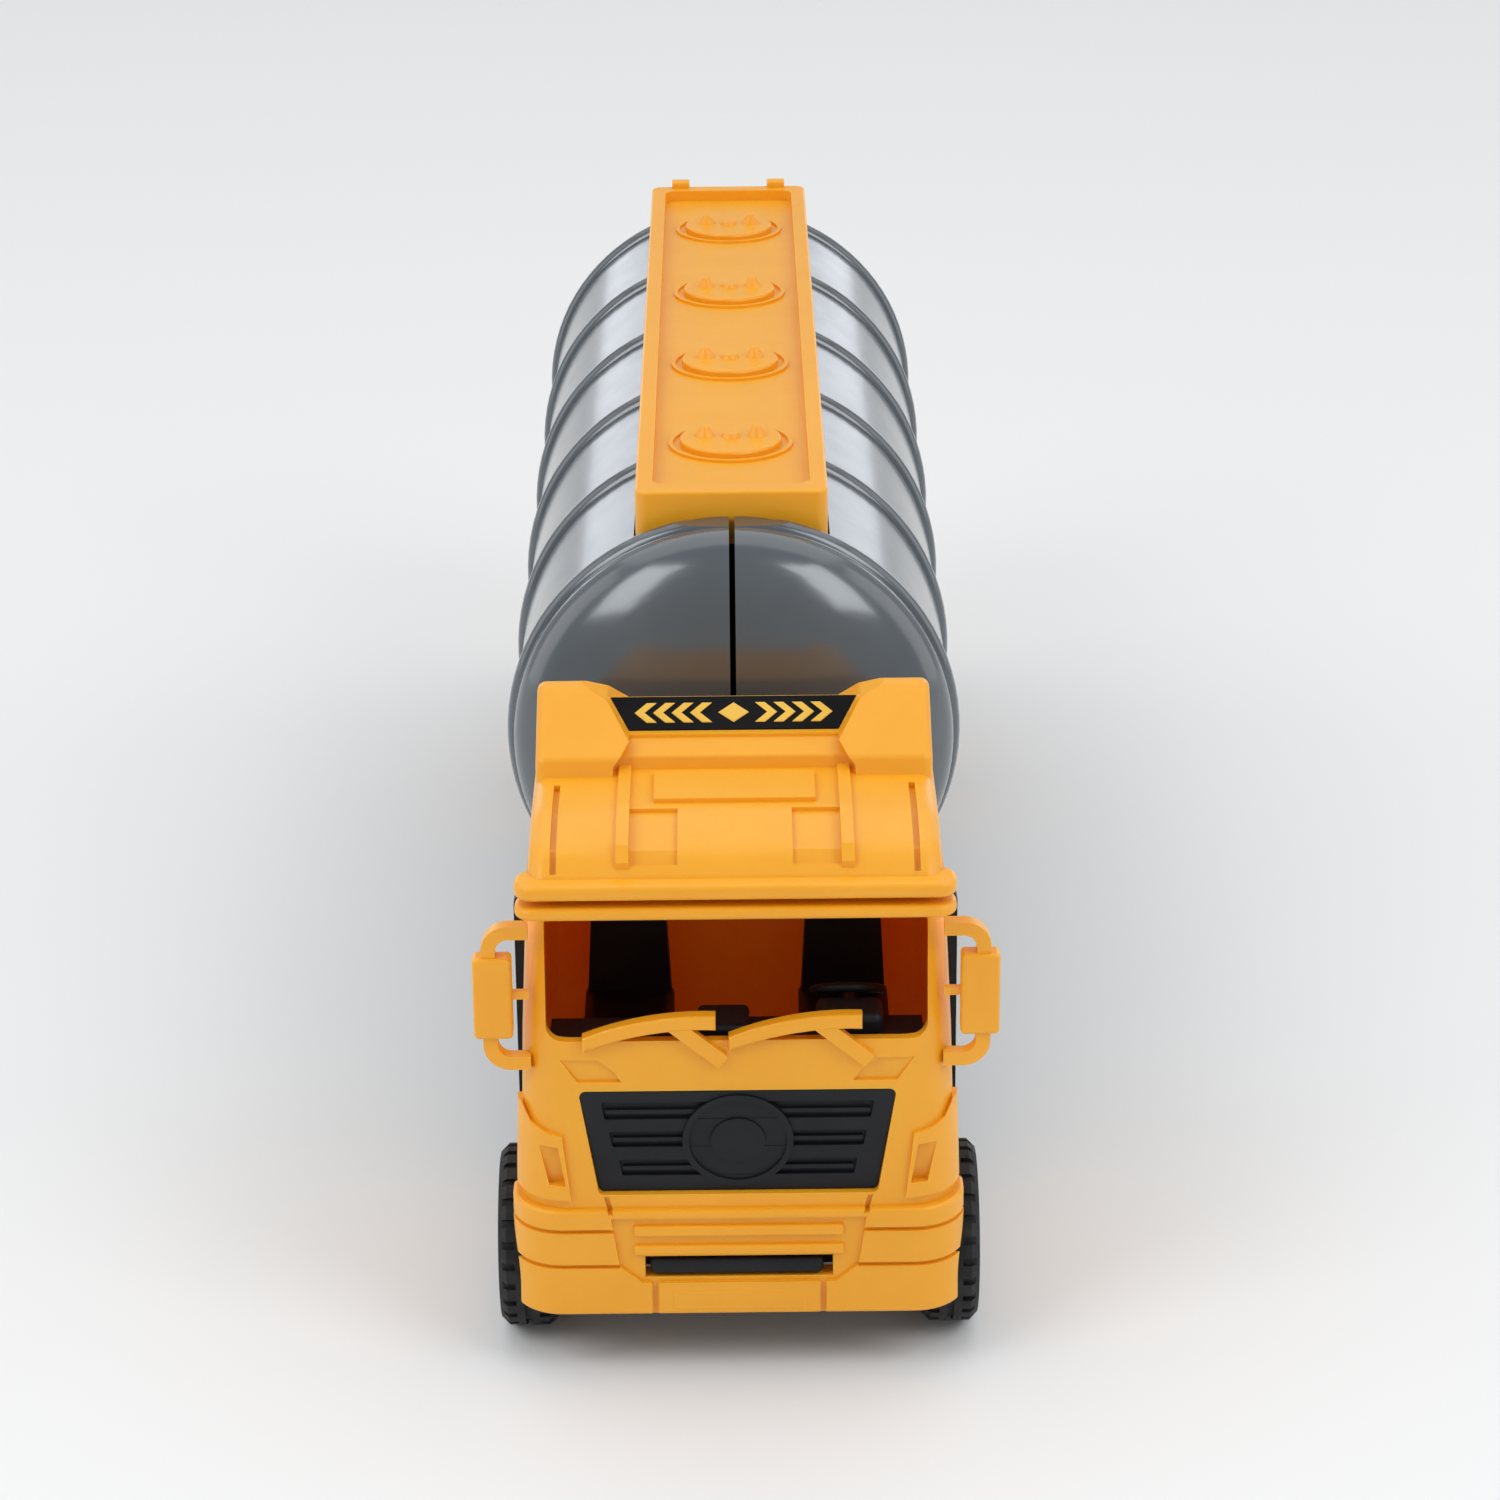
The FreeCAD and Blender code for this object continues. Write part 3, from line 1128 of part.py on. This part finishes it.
def back_panel():
    """The black panel across the chassis behind the cab, with a step each side and a pipe each side."""
    y0, y1 = cab_rear_y + 1.2, cab_rear_y + 4.2
    z1 = 70.0
    half = panel_half_width
    outline = [(-half, 22.0), (half, 22.0), (half, z1), (-half, z1)]
    plate = front_prism(outline, y0, y1, [1.0, 1.0, 3.0, 3.0])
    passage = box(-deck_half_width - 0.15, deck_half_width + 0.15, y0 - 1, y1 + 1, 0, deck_top_z)
    plate = plate.cut(passage)
    foot = box(-deck_half_width, deck_half_width, y1 - 0.5, y1 + 6.0, deck_top_z, deck_top_z + 2.0)
    ribs = [box(x - 0.8, x + 0.8, y1 - 0.5, y1 + 5.5, deck_top_z + 1.5, z1 - 12) for x in (-18.0, 0.0, 18.0)]
    return fused([plate, foot] + ribs)


def side_tank(sign, length):
    """A fuel tank or locker hung beside the chassis, with two straps."""
    x0, x1 = deck_half_width, side_box_x
    y0 = side_box_y0
    body = soft_box(x0 + 4.0, x1 - 0.6, y0, y0 + length, 15.0, 37.0, 3.0)
    arms = []
    straps = []
    for share in (0.22, 0.78):
        y = y0 + length * share
        arms.append(box(x0, x0 + 6.0, y - 2.5, y + 2.5, deck_top_z - deck_thickness, deck_top_z))
        outer = soft_box(x0 + 3.4, x1, y - 1.6, y + 1.6, 14.4, 37.6, 1.2)
        straps.append(outer)
    made = fused([body] + arms + straps)
    return made if sign > 0 else mirrored(made)


def rear_fender(sign):
    """One mudguard over the two rear wheels of a side, screwed flat to the deck's edge."""
    x0, x1 = deck_half_width, track_outer / 2
    clearance = 2.4
    thickness = 1.6
    inner_r = wheel_radius + clearance
    outer_r = inner_r + thickness
    ya, yb = axle_ys["middle"], axle_ys["rear"]
    outer = fused([
        rod(V(x0, ya, wheel_radius), V(x1, ya, wheel_radius), outer_r),
        rod(V(x0, yb, wheel_radius), V(x1, yb, wheel_radius), outer_r),
    ])
    inner = fused([
        rod(V(x0 - 1, ya, wheel_radius), V(x1 + 1, ya, wheel_radius), inner_r),
        rod(V(x0 - 1, yb, wheel_radius), V(x1 + 1, yb, wheel_radius), inner_r),
    ])
    skin = outer.cut(inner)
    lip = fused([
        rod(V(x1 - 1.2, y, wheel_radius), V(x1, y, wheel_radius), outer_r + 0.9) for y in (ya, yb)]).cut(inner)
    plate = side_prism([(ya - 16, 27.5), (yb + 16, 27.5), (yb + 12, 37.5), (ya - 12, 37.5)], x0 + 1.8, x_from=x0)
    bearing_room = [box(x0 - 1, x0 + 3, y - bearing_radius - 0.6, y + bearing_radius + 0.6, 0, deck_top_z)
                    for y in (ya, yb)]
    top = fused([skin, lip]).common(box(x0, x1, ya - 40, yb + 40, 24.0, 60.0))
    made = fused([top, plate.cut(Part.makeCompound(bearing_room))])
    return made if sign > 0 else mirrored(made)


# ---------------------------------------------------------------- rear end
ladder_x = 12.5
ladder_rail_width = 4.4
ladder_rail_depth = 2.4
ladder_gap = 1.2               # behind the tank's rear end
ladder_top_z = walkway_top_z + 1.8
ladder_rungs = 8
bumper_height = 14.0
lamp_radius = 3.1
lamp_xs = (27.0, 35.5)


def ladder_y():
    return dome_rear_y + dome_depth + ladder_gap


def rear_ladder():
    """An upright ladder behind the tank: its rails bend forward at the top and rest on the walkway's end."""
    y0 = ladder_y()
    y1 = y0 + ladder_rail_depth
    half = ladder_rail_width / 2
    hook_y = walkway_rear_y - 2.4
    bend_z = ladder_top_z - ladder_rail_depth
    rail = side_prism([(y0, deck_top_z), (y1, deck_top_z), (y1, bend_z - 2.0), (hook_y + 2.6, ladder_top_z),
                       (hook_y, ladder_top_z), (hook_y, walkway_top_z), (walkway_rear_y + 0.6, walkway_top_z),
                       (y0, bend_z - 3.0)],
                      ladder_x + half, [0, 0, 2.2, 1.2, 0.8, 0, 0, 1.0], x_from=ladder_x - half)
    foot = box(ladder_x - half - 1.5, ladder_x + half + 1.5, y0 - 8.0, y1, deck_top_z, deck_top_z + 1.8)
    rungs = []
    for i in range(ladder_rungs):
        z = deck_top_z + 14 + i * (ladder_top_z - deck_top_z - 30) / (ladder_rungs - 1)
        y = (y0 + y1) / 2
        rungs.append(rod(V(-ladder_x, y, z), V(ladder_x, y, z), 1.0))
    return fused(on_both_sides(rail) + on_both_sides(foot) + rungs)


def rear_bumper():
    """A beam across the rear end with sockets for four lamps and a blank plate."""
    y0, y1 = rear_y - 4.0, rear_y - 0.5
    z0 = deck_top_z - bumper_height + 2
    z1 = deck_top_z + 2
    beam = plan_prism([(-43.0, y0), (43.0, y0), (43.0, y1), (-43.0, y1)], z0, z1, [0, 0, 2.6, 2.6])
    edges = [e for e in beam.Edges if all(abs(v.Y - y1) < 2.7 and (abs(v.Z - z0) < 1e-6 or abs(v.Z - z1) < 1e-6)
                                          for v in e.Vertexes) and e.BoundBox.YMax > y0 + 1]
    beam = beam.makeFillet(0.7, edges)
    centre_z = (z0 + z1) / 2
    sockets = []
    for sign in (1, -1):
        for x in lamp_xs:
            sockets.append(rod(V(sign * x, y1 - 1.5, centre_z), V(sign * x, y1 + 1, centre_z), lamp_radius + 0.1))
    plate = soft_box(-10.0, 10.0, y1 - 0.6, y1 + 0.5, z0 + 2.5, z0 + 8.5, 0.4)
    arms = on_both_sides(box(rail_x, rail_x + rail_width, rear_y - 6.0, y0 + 0.5, rail_bottom_z + 0.5,
                             deck_top_z - deck_thickness))
    return fused([beam.cut(Part.makeCompound(sockets)), plate] + arms)


def tail_lamps():
    y1 = rear_y - 0.5
    z = deck_top_z + 2 - bumper_height / 2
    lamps = []
    for sign in (1, -1):
        for x in lamp_xs:
            lens = rod(V(sign * x, y1 - 1.5, z), V(sign * x, y1 + 0.5, z), lamp_radius)
            lens = lens.makeFillet(0.45, [e for e in lens.Edges if abs(e.BoundBox.YMin - y1 - 0.5) < 1e-6])
            lamps.append(lens)
    return Part.makeCompound(lamps)


# ---------------------------------------------------------------- write
def build():
    for name, y in axle_ys.items():
        make_axle(name, y, front_wheel_width if name == "front" else rear_wheel_width)
    keep("chassis_frame", chassis_frame())
    keep("cradle_screws", Part.makeCompound([screw(x, y) for x, y in cradle_screw_places]))
    keep("cab_screws", Part.makeCompound([screw(x, y) for x, y in cab_screw_places]))
    keep("cab_floor", cab_floor())
    keep("dashboard", dashboard())
    keep("steering_wheel", steering_wheel())
    keep("back_panel", back_panel())
    keep("rear_ladder", rear_ladder())
    keep("rear_bumper", rear_bumper())
    keep("tail_lamps", tail_lamps())
    for side, sign in SIDES.items():
        keep("seat_" + side, seat(sign))
        keep("rear_fender_" + side, rear_fender(sign))
    keep("fuel_tank", side_tank(-1, side_box_lengths[0]))
    keep("side_locker", side_tank(1, side_box_lengths[0]))
    skin = tank_skin()
    shell = tank_shell(skin)
    keep("tank_shell_left", shell)
    keep("tank_shell_right", mirrored(shell))
    keep("tank_cradle", tank_cradle(skin))
    keep("hinge_pins_left", hinge_pins())
    keep("hinge_pins_right", mirrored(hinge_pins()))
    keep("front_bulkhead", bulkhead(bulkhead_front_y))
    keep("rear_bulkhead", bulkhead(bulkhead_rear_y))
    keep("hold_floor", hold_floor())
    keep("top_beam", top_beam())
    keep("walkway", walkway())
    keep("cab_body", cab_body())
    keep("cab_roof", cab_roof())
    keep("roof_sign", sign_plate(fit_gap))
    keep("grille", grille())
    keep("lower_intake", lower_intake())
    keep("mirror_left", mirror(1))
    keep("mirror_right", mirror(-1))


build()
os.makedirs("parts", exist_ok=True)
for node, shape in PARTS.items():
    if not shape.isValid():
        print("not valid:", node)
    shape.exportStep(f"parts/{node}.step")
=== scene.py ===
"""Looks for the toy tanker truck: materials, the roof sign's marks, a pale studio, and the camera."""
import json
import math

import bmesh
import bpy
from mathutils import Matrix, Vector


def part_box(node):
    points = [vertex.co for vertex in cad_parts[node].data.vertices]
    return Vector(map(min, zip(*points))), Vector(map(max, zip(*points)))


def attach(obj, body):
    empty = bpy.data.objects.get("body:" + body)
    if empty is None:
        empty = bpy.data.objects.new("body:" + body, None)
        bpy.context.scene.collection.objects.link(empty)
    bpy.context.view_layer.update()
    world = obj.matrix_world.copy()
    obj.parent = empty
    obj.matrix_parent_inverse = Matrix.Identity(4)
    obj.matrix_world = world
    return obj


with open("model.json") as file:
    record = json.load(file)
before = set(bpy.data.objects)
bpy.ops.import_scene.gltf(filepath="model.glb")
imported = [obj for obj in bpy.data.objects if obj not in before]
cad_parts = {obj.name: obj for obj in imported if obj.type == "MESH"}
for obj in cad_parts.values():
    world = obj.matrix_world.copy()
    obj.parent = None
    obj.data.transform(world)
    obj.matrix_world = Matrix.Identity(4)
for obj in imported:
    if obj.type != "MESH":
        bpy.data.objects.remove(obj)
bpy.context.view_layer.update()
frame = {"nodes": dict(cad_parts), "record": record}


# ---------------------------------------------------------------- camera
CAMERA_PLACE = (0.0, -0.893, 0.4145)
CAMERA_PITCH_DOWN, CAMERA_YAW, CAMERA_ROLL = (math.radians(angle) for angle in (22.0, -0.24, -0.5))
SENSOR_WIDTH_MM, LENS_MM = 36.0, 99.1
CLIP_NEAR, CLIP_FAR = 0.05, 50.0


def make_camera():
    """A long lens in front of the cab, looking down on it."""
    data = bpy.data.cameras.new("camera")
    data.sensor_width = SENSOR_WIDTH_MM
    data.lens = LENS_MM
    data.clip_start = CLIP_NEAR
    data.clip_end = CLIP_FAR
    camera = bpy.data.objects.new("camera", data)
    bpy.context.scene.collection.objects.link(camera)
    tilt = Matrix.Rotation(math.pi / 2 - CAMERA_PITCH_DOWN, 4, "X")
    turn = Matrix.Rotation(CAMERA_YAW, 4, "Z") @ tilt @ Matrix.Rotation(CAMERA_ROLL, 4, "Z")
    camera.matrix_world = Matrix.Translation(CAMERA_PLACE) @ turn
    bpy.context.scene.camera = camera


make_camera()


# ---------------------------------------------------------------- materials
def principled(material):
    return next(node for node in material.node_tree.nodes if node.type == "BSDF_PRINCIPLED")


class Nodes:
    """Short names for building one material's node tree."""

    def __init__(self, name):
        self.material = bpy.data.materials.new(name)
        self.material.use_nodes = True
        self.tree = self.material.node_tree
        self.shader = principled(self.material)
        self.place = self.tree.nodes.new("ShaderNodeTexCoord").outputs["Object"]

    def new(self, kind, **values):
        """A new node of this kind, with the given properties."""
        node = self.tree.nodes.new(kind)
        for key, value in values.items():
            setattr(node, key, value)
        return node

    def link(self, a, b):
        self.tree.links.new(a, b)

    def stretched(self, scale):
        """The object's coordinates, scaled differently along each axis."""
        node = self.new("ShaderNodeMapping")
        node.inputs["Scale"].default_value = scale
        self.link(self.place, node.inputs["Vector"])
        return node.outputs["Vector"]

    def noise(self, scale, detail=2.0, roughness=0.5, vector=None):
        node = self.new("ShaderNodeTexNoise")
        node.inputs["Scale"].default_value = scale
        node.inputs["Detail"].default_value = detail
        node.inputs["Roughness"].default_value = roughness
        self.link(vector or self.place, node.inputs["Vector"])
        return node.outputs["Fac"]

    def ramp(self, value, low, high, out_low, out_high):
        """The value, remapped from low..high to out_low..out_high."""
        node = self.new("ShaderNodeMapRange")
        numbers = {"From Min": low, "From Max": high, "To Min": out_low, "To Max": out_high}
        for key, number in numbers.items():
            node.inputs[key].default_value = number
        self.link(value, node.inputs["Value"])
        return node.outputs["Result"]

    def blend(self, factor, first, second):
        node = self.new("ShaderNodeMix", data_type="RGBA")
        self.link(factor, node.inputs["Factor"])
        node.inputs["A"].default_value = (*first, 1.0)
        node.inputs["B"].default_value = (*second, 1.0)
        return node.outputs["Result"]

    def bump(self, height, strength, distance, under=None):
        """A bump from a height, over another bump's normal if one is given."""
        node = self.new("ShaderNodeBump")
        node.inputs["Strength"].default_value = strength
        node.inputs["Distance"].default_value = distance
        self.link(height, node.inputs["Height"])
        if under:
            self.link(under, node.inputs["Normal"])
        return node.outputs["Normal"]

    def finish(self, **values):
        """Sets the shader's own sockets, their names written with underscores."""
        for key, value in values.items():
            self.shader.inputs[key.replace("_", " ")].default_value = value
        return self.material


WAVE_HEIGHT, GRAIN_HEIGHT, SCRATCH_HEIGHT = 0.0012, 0.00008, 0.00006
SCRATCH_STRETCH = (0.12, 1.0, 1.7)


def plastic(name, deep, light, rough, grain=0.10, ripple=0.06, scratch=0.0, **extra):
    """Moulded plastic: cloudy pigment, a fine sparked grain, slow shrinkage waves, and handling marks."""
    n = Nodes(name)
    cloud = n.noise(scale=38.0, detail=3.0, roughness=0.55)
    n.link(n.blend(n.ramp(cloud, 0.35, 0.65, 0.0, 1.0), deep, light), n.shader.inputs["Base Color"])
    patch = n.noise(scale=110.0, detail=4.0, roughness=0.6)
    n.link(n.ramp(patch, 0.3, 0.7, *rough), n.shader.inputs["Roughness"])
    wave = n.bump(n.noise(scale=55.0, detail=1.0, roughness=0.4), ripple, WAVE_HEIGHT)
    fine = n.bump(n.noise(scale=2600.0, detail=2.0, roughness=0.6), grain, GRAIN_HEIGHT, under=wave)
    if scratch:
        lines = n.noise(scale=420.0, detail=5.0, roughness=0.75, vector=n.stretched(SCRATCH_STRETCH))
        fine = n.bump(n.ramp(lines, 0.60, 0.72, 0.0, 1.0), scratch, SCRATCH_HEIGHT, under=fine)
    n.link(fine, n.shader.inputs["Normal"])
    return n.finish(**extra)


def paint_glow_inside(material, low, high, colour):
    """A painted glow standing in for daylight that comes through thin walls: the faces that lie inside a box emit
    a faint light of the given colour.
    """
    tree, shader = material.node_tree, principled(material)
    place = tree.nodes.new("ShaderNodeTexCoord").outputs["Object"]
    split = tree.nodes.new("ShaderNodeSeparateXYZ")
    tree.links.new(place, split.inputs["Vector"])
    inside = None
    for axis in range(3):
        for limit, operation in ((low[axis], "GREATER_THAN"), (high[axis], "LESS_THAN")):
            test = tree.nodes.new("ShaderNodeMath")
            test.operation = operation
            test.inputs[1].default_value = limit
            tree.links.new(split.outputs[axis], test.inputs[0])
            if inside is None:
                inside = test.outputs[0]
                continue
            both = tree.nodes.new("ShaderNodeMath")
            both.operation = "MULTIPLY"
            tree.links.new(inside, both.inputs[0])
            tree.links.new(test.outputs[0], both.inputs[1])
            inside = both.outputs[0]
    # Painted light: the faces inside the box emit this colour, though there is no lamp there.
    shader.inputs["Emission Color"].default_value = (*colour, 1.0)
    tree.links.new(inside, shader.inputs["Emission Strength"])
    return material


def rubber(name):
    """Tyre compound: dull, with dusty patches and a coarse skin."""
    n = Nodes(name)
    clean, dusty = (0.010, 0.010, 0.011), (0.030, 0.029, 0.028)
    skin_height = 0.00012
    dust = n.ramp(n.noise(scale=160.0, detail=6.0, roughness=0.7), 0.45, 0.75, 0.0, 1.0)
    n.link(n.blend(dust, clean, dusty), n.shader.inputs["Base Color"])
    patch = n.noise(scale=300.0, detail=3.0, roughness=0.6)
    n.link(n.ramp(patch, 0.3, 0.7, 0.52, 0.72), n.shader.inputs["Roughness"])
    skin = n.noise(scale=1900.0, detail=3.0, roughness=0.7)
    n.link(n.bump(skin, 0.25, skin_height), n.shader.inputs["Normal"])
    return n.finish(Specular_IOR_Level=0.35)


def steel(name):
    """Drawn steel rod and screws, with fine marks along the length."""
    n = Nodes(name)
    dark, bright = (0.42, 0.43, 0.45), (0.60, 0.61, 0.63)
    mark_height = 0.00005
    marks = n.noise(scale=900.0, detail=4.0, roughness=0.7, vector=n.stretched((0.05, 1.0, 1.0)))
    n.link(n.blend(marks, dark, bright), n.shader.inputs["Base Color"])
    n.link(n.ramp(marks, 0.3, 0.7, 0.24, 0.40), n.shader.inputs["Roughness"])
    n.link(n.bump(marks, 0.12, mark_height), n.shader.inputs["Normal"])
    return n.finish(Metallic=1.0)


def lens(name):
    """A red lamp lens with upright flutes, painted darker in the grooves as shade and lighter on the crests as a
    highlight.
    """
    n = Nodes(name)
    groove_painted_shade, crest_painted_highlight = (0.30, 0.012, 0.010), (0.46, 0.022, 0.018)
    flute_scale, flute_height = 420.0, 0.0003
    flutes = n.new("ShaderNodeTexWave", wave_type="BANDS", bands_direction="X")
    flutes.inputs["Scale"].default_value = flute_scale
    flutes.inputs["Distortion"].default_value = 0.0
    n.link(n.place, flutes.inputs["Vector"])
    # Painted shade and highlight: the grooves of the flutes get the darker red, the crests the lighter.
    n.link(n.blend(flutes.outputs["Fac"], groove_painted_shade, crest_painted_highlight), n.shader.inputs["Base Color"])
    n.link(n.bump(flutes.outputs["Fac"], 0.35, flute_height), n.shader.inputs["Normal"])
    return n.finish(Roughness=0.12, Coat_Weight=0.6)


def orange_plastic(name):
    return plastic(name, (0.86, 0.372, 0.010), (0.89, 0.395, 0.015), (0.32, 0.42), scratch=0.05,
                   Specular_IOR_Level=0.45, Subsurface_Weight=0.25, Subsurface_Scale=0.0026,
                   Coat_Weight=0.12, Coat_Roughness=0.22)


def cab_orange_painted_glow():
    """The orange of the cab, whose inner walls carry a painted glow standing in for daylight through the walls:
    the box below lies just inside the cab's walls.
    """
    low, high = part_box("cab_body")
    inner_half_width, floor_z, ceiling_z = 0.0394, 0.041, 0.100
    behind_face, before_rear = 0.010, 0.0012
    # The colour of the painted glow on the cab's inner walls.
    painted_glow_red = (0.105, 0.006, 0.0)
    return paint_glow_inside(orange_plastic("cab_orange_painted_glow"),
                       (-inner_half_width, low.y + behind_face, floor_z),
                       (inner_half_width, high.y - before_rear, ceiling_z), painted_glow_red)


ORANGE = orange_plastic("orange_plastic")
GREY = plastic("grey_plastic", (0.048, 0.062, 0.074), (0.057, 0.073, 0.087), (0.16, 0.23), grain=0.05, ripple=0.10,
               scratch=0.10, Specular_IOR_Level=1.0, Coat_Weight=0.5, Coat_Roughness=0.12)
BLACK = plastic("black_plastic", (0.0055, 0.0062, 0.0082), (0.009, 0.0098, 0.0125), (0.42, 0.56), grain=0.16,
                Specular_IOR_Level=0.28)
CAB_ORANGE_PAINTED_GLOW = cab_orange_painted_glow()
SEAT_BLACK = plastic("inside_black_plastic", (0.004, 0.004, 0.004), (0.007, 0.007, 0.007), (0.45, 0.6),
                     grain=0.16)
SIGN_BLACK = plastic("sign_black", (0.006, 0.006, 0.007), (0.010, 0.010, 0.011), (0.26, 0.36), grain=0.04,
                     scratch=0.12, Specular_IOR_Level=0.12)
SIGN_YELLOW = plastic("sign_yellow", (0.80, 0.47, 0.05), (0.86, 0.52, 0.07), (0.35, 0.5), grain=0.05)
TYRE = rubber("tyre_rubber")
STEEL = steel("drawn_steel")
LENS = lens("red_lens")

BY_SLOT = {"orange": ORANGE, "tank_grey": GREY, "black": BLACK, "tyre": TYRE, "hub": ORANGE, "steel": STEEL,
           "lamp_red": LENS}
BY_NODE = {"cab_body": CAB_ORANGE_PAINTED_GLOW, "seat_left": SEAT_BLACK, "seat_right": SEAT_BLACK, "roof_sign": SIGN_BLACK}


def dress_nodes():
    """Gives each CAD node its own material, or the one of its slot."""
    slots = {entry["node"]: entry["material_slot"] for entry in frame["record"]["subparts"]}
    for name, obj in frame["nodes"].items():
        material = BY_NODE.get(name, BY_SLOT[slots[name]])
        for slot in obj.material_slots:
            slot.material = material


dress_nodes()


# ---------------------------------------------------------------- roof sign
SIGN_THICKNESS = 0.00125
MARK_DEPTH = 0.00022
MARK_SHOULDER, MARK_TOP_SCALE = 0.6, 0.93
MARK_LOW, MARK_HIGH = 0.20, 0.80
CHEVRON_COUNT, CHEVRON_START, CHEVRON_PITCH = 4, 0.0042, 0.0036
CHEVRON_THICK, CHEVRON_REACH = 0.0019, 0.0024
DIAMOND_HALF_WIDTH = 0.0030


def sign_plane():
    """The middle of the sign's low front edge and of its high rear edge, from the node's box."""
    low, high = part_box("roof_sign")
    step = SIGN_THICKNESS / math.sqrt(2.0)
    return Vector((0, low.y, low.z + step)), Vector((0, high.y - step, high.z))


def raised_outline(bm, outline, place):
    """A thin raised shape from (across, up) points on the sign's face, its top a little smaller."""
    centre = sum((Vector(p) for p in outline), Vector((0, 0))) / len(outline)
    rings = []
    for height, scale in ((0.0, 1.0), (MARK_DEPTH * MARK_SHOULDER, 1.0), (MARK_DEPTH, MARK_TOP_SCALE)):
        rings.append([bm.verts.new(place((Vector(p) - centre) * scale + centre, height)) for p in outline])
    for lower, upper in zip(rings, rings[1:]):
        for i in range(len(outline)):
            j = (i + 1) % len(outline)
            bm.faces.new((lower[i], lower[j], upper[j], upper[i]))
    bm.faces.new(rings[-1])
    bm.faces.new(list(reversed(rings[0])))


def chevron(x, y0, middle, y1):
    """One chevron's outline, its point away from the middle of the sign."""
    return [(x, y0), (x + CHEVRON_THICK, y0), (x + CHEVRON_THICK + CHEVRON_REACH, middle), (x + CHEVRON_THICK, y1),
            (x, y1), (x + CHEVRON_REACH, middle)]


def sign_marks():
    """Plain chevrons on both sides of a diamond, where the sign would carry a name."""
    low, high = sign_plane()
    up = (high - low).normalized()
    out = Vector((0, -up.z, up.y))
    length = (high - low).length

    def place(point, height):
        return low + Vector((point.x, 0, 0)) + up * point.y + out * height

    y0, y1 = length * MARK_LOW, length * MARK_HIGH
    middle = (y0 + y1) / 2
    bm = bmesh.new()
    for side in (-1, 1):
        for i in range(CHEVRON_COUNT):
            outline = chevron(CHEVRON_START + i * CHEVRON_PITCH, y0, middle, y1)
            raised_outline(bm, [(side * a, b) for a, b in outline][::side], place)
    half_width, half_height = DIAMOND_HALF_WIDTH, (y1 - y0) / 2
    diamond = [(-half_width, middle), (0, middle - half_height), (half_width, middle), (0, middle + half_height)]
    raised_outline(bm, diamond, place)
    mesh = bpy.data.meshes.new("sign_marks")
    bm.to_mesh(mesh)
    bm.free()
    mesh.materials.append(SIGN_YELLOW)
    marks = bpy.data.objects.new("sign_marks", mesh)
    bpy.context.scene.collection.objects.link(marks)
    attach(marks, "truck")


sign_marks()


# ---------------------------------------------------------------- studio
WHITE, COOL, COOLER = (1.0, 1.0, 1.0), (0.93, 0.97, 1.0), (0.87, 0.92, 1.0)


def area_light(name, place, target, size, power, colour=WHITE):
    """A rectangular light of this size and power in watts, aimed at the target."""
    data = bpy.data.lights.new(name, "AREA")
    data.shape = "RECTANGLE"
    data.size, data.size_y = size
    data.energy = power
    data.color = colour
    light = bpy.data.objects.new(name, data)
    bpy.context.scene.collection.objects.link(light)
    light.location = place
    aim = Vector(target) - Vector(place)
    light.rotation_euler = aim.to_track_quat("-Z", "Y").to_euler()


def make_floor():
    """White paper, far wider than the view."""
    half = 6.0
    mesh = bpy.data.meshes.new("floor")
    mesh.from_pydata([(-half, -half, 0), (half, -half, 0), (half, half, 0), (-half, half, 0)], [], [(0, 1, 2, 3)])
    floor = bpy.data.objects.new("floor", mesh)
    bpy.context.scene.collection.objects.link(floor)
    n = Nodes("floor_paper")
    tone = n.noise(scale=3.0, detail=2.0, roughness=0.5)
    n.link(n.blend(tone, (0.83, 0.83, 0.83), (0.84, 0.84, 0.84)), n.shader.inputs["Base Color"])
    mesh.materials.append(n.finish(Roughness=0.9, Specular_IOR_Level=0.0))


def make_sky():
    world = bpy.data.worlds.new("studio")
    bpy.context.scene.world = world
    world.use_nodes = True
    background = world.node_tree.nodes["Background"]
    background.inputs["Color"].default_value = (0.97, 0.985, 1.0, 1.0)
    background.inputs["Strength"].default_value = 0.53


def make_lights():
    """A wide light overhead, and on each side a box in front, a large panel beside and one far behind."""
    area_light("overhead", (0.0, 0.75, 1.9), (0.0, 0.30, 0.0), (3.0, 2.2), 15.0)
    for side, name in ((-1, "left"), (1, "right")):
        area_light(name + "_box", (side * 0.66, -0.66, 0.86), (0.0, -0.10, 0.12), (0.48, 0.62), 3.4, COOL)
        area_light(name + "_side", (side * 2.2, 0.2, 0.9), (0.0, 0.0, 0.08), (1.4, 2.4), 9.0)
        area_light(name + "_rear", (side * 1.6, 3.8, 0.62), (0.0, 0.0, 0.12), (1.5, 1.1), 6.6, COOLER)


make_floor()
make_sky()
make_lights()
bpy.context.scene.view_settings.view_transform = "Standard"
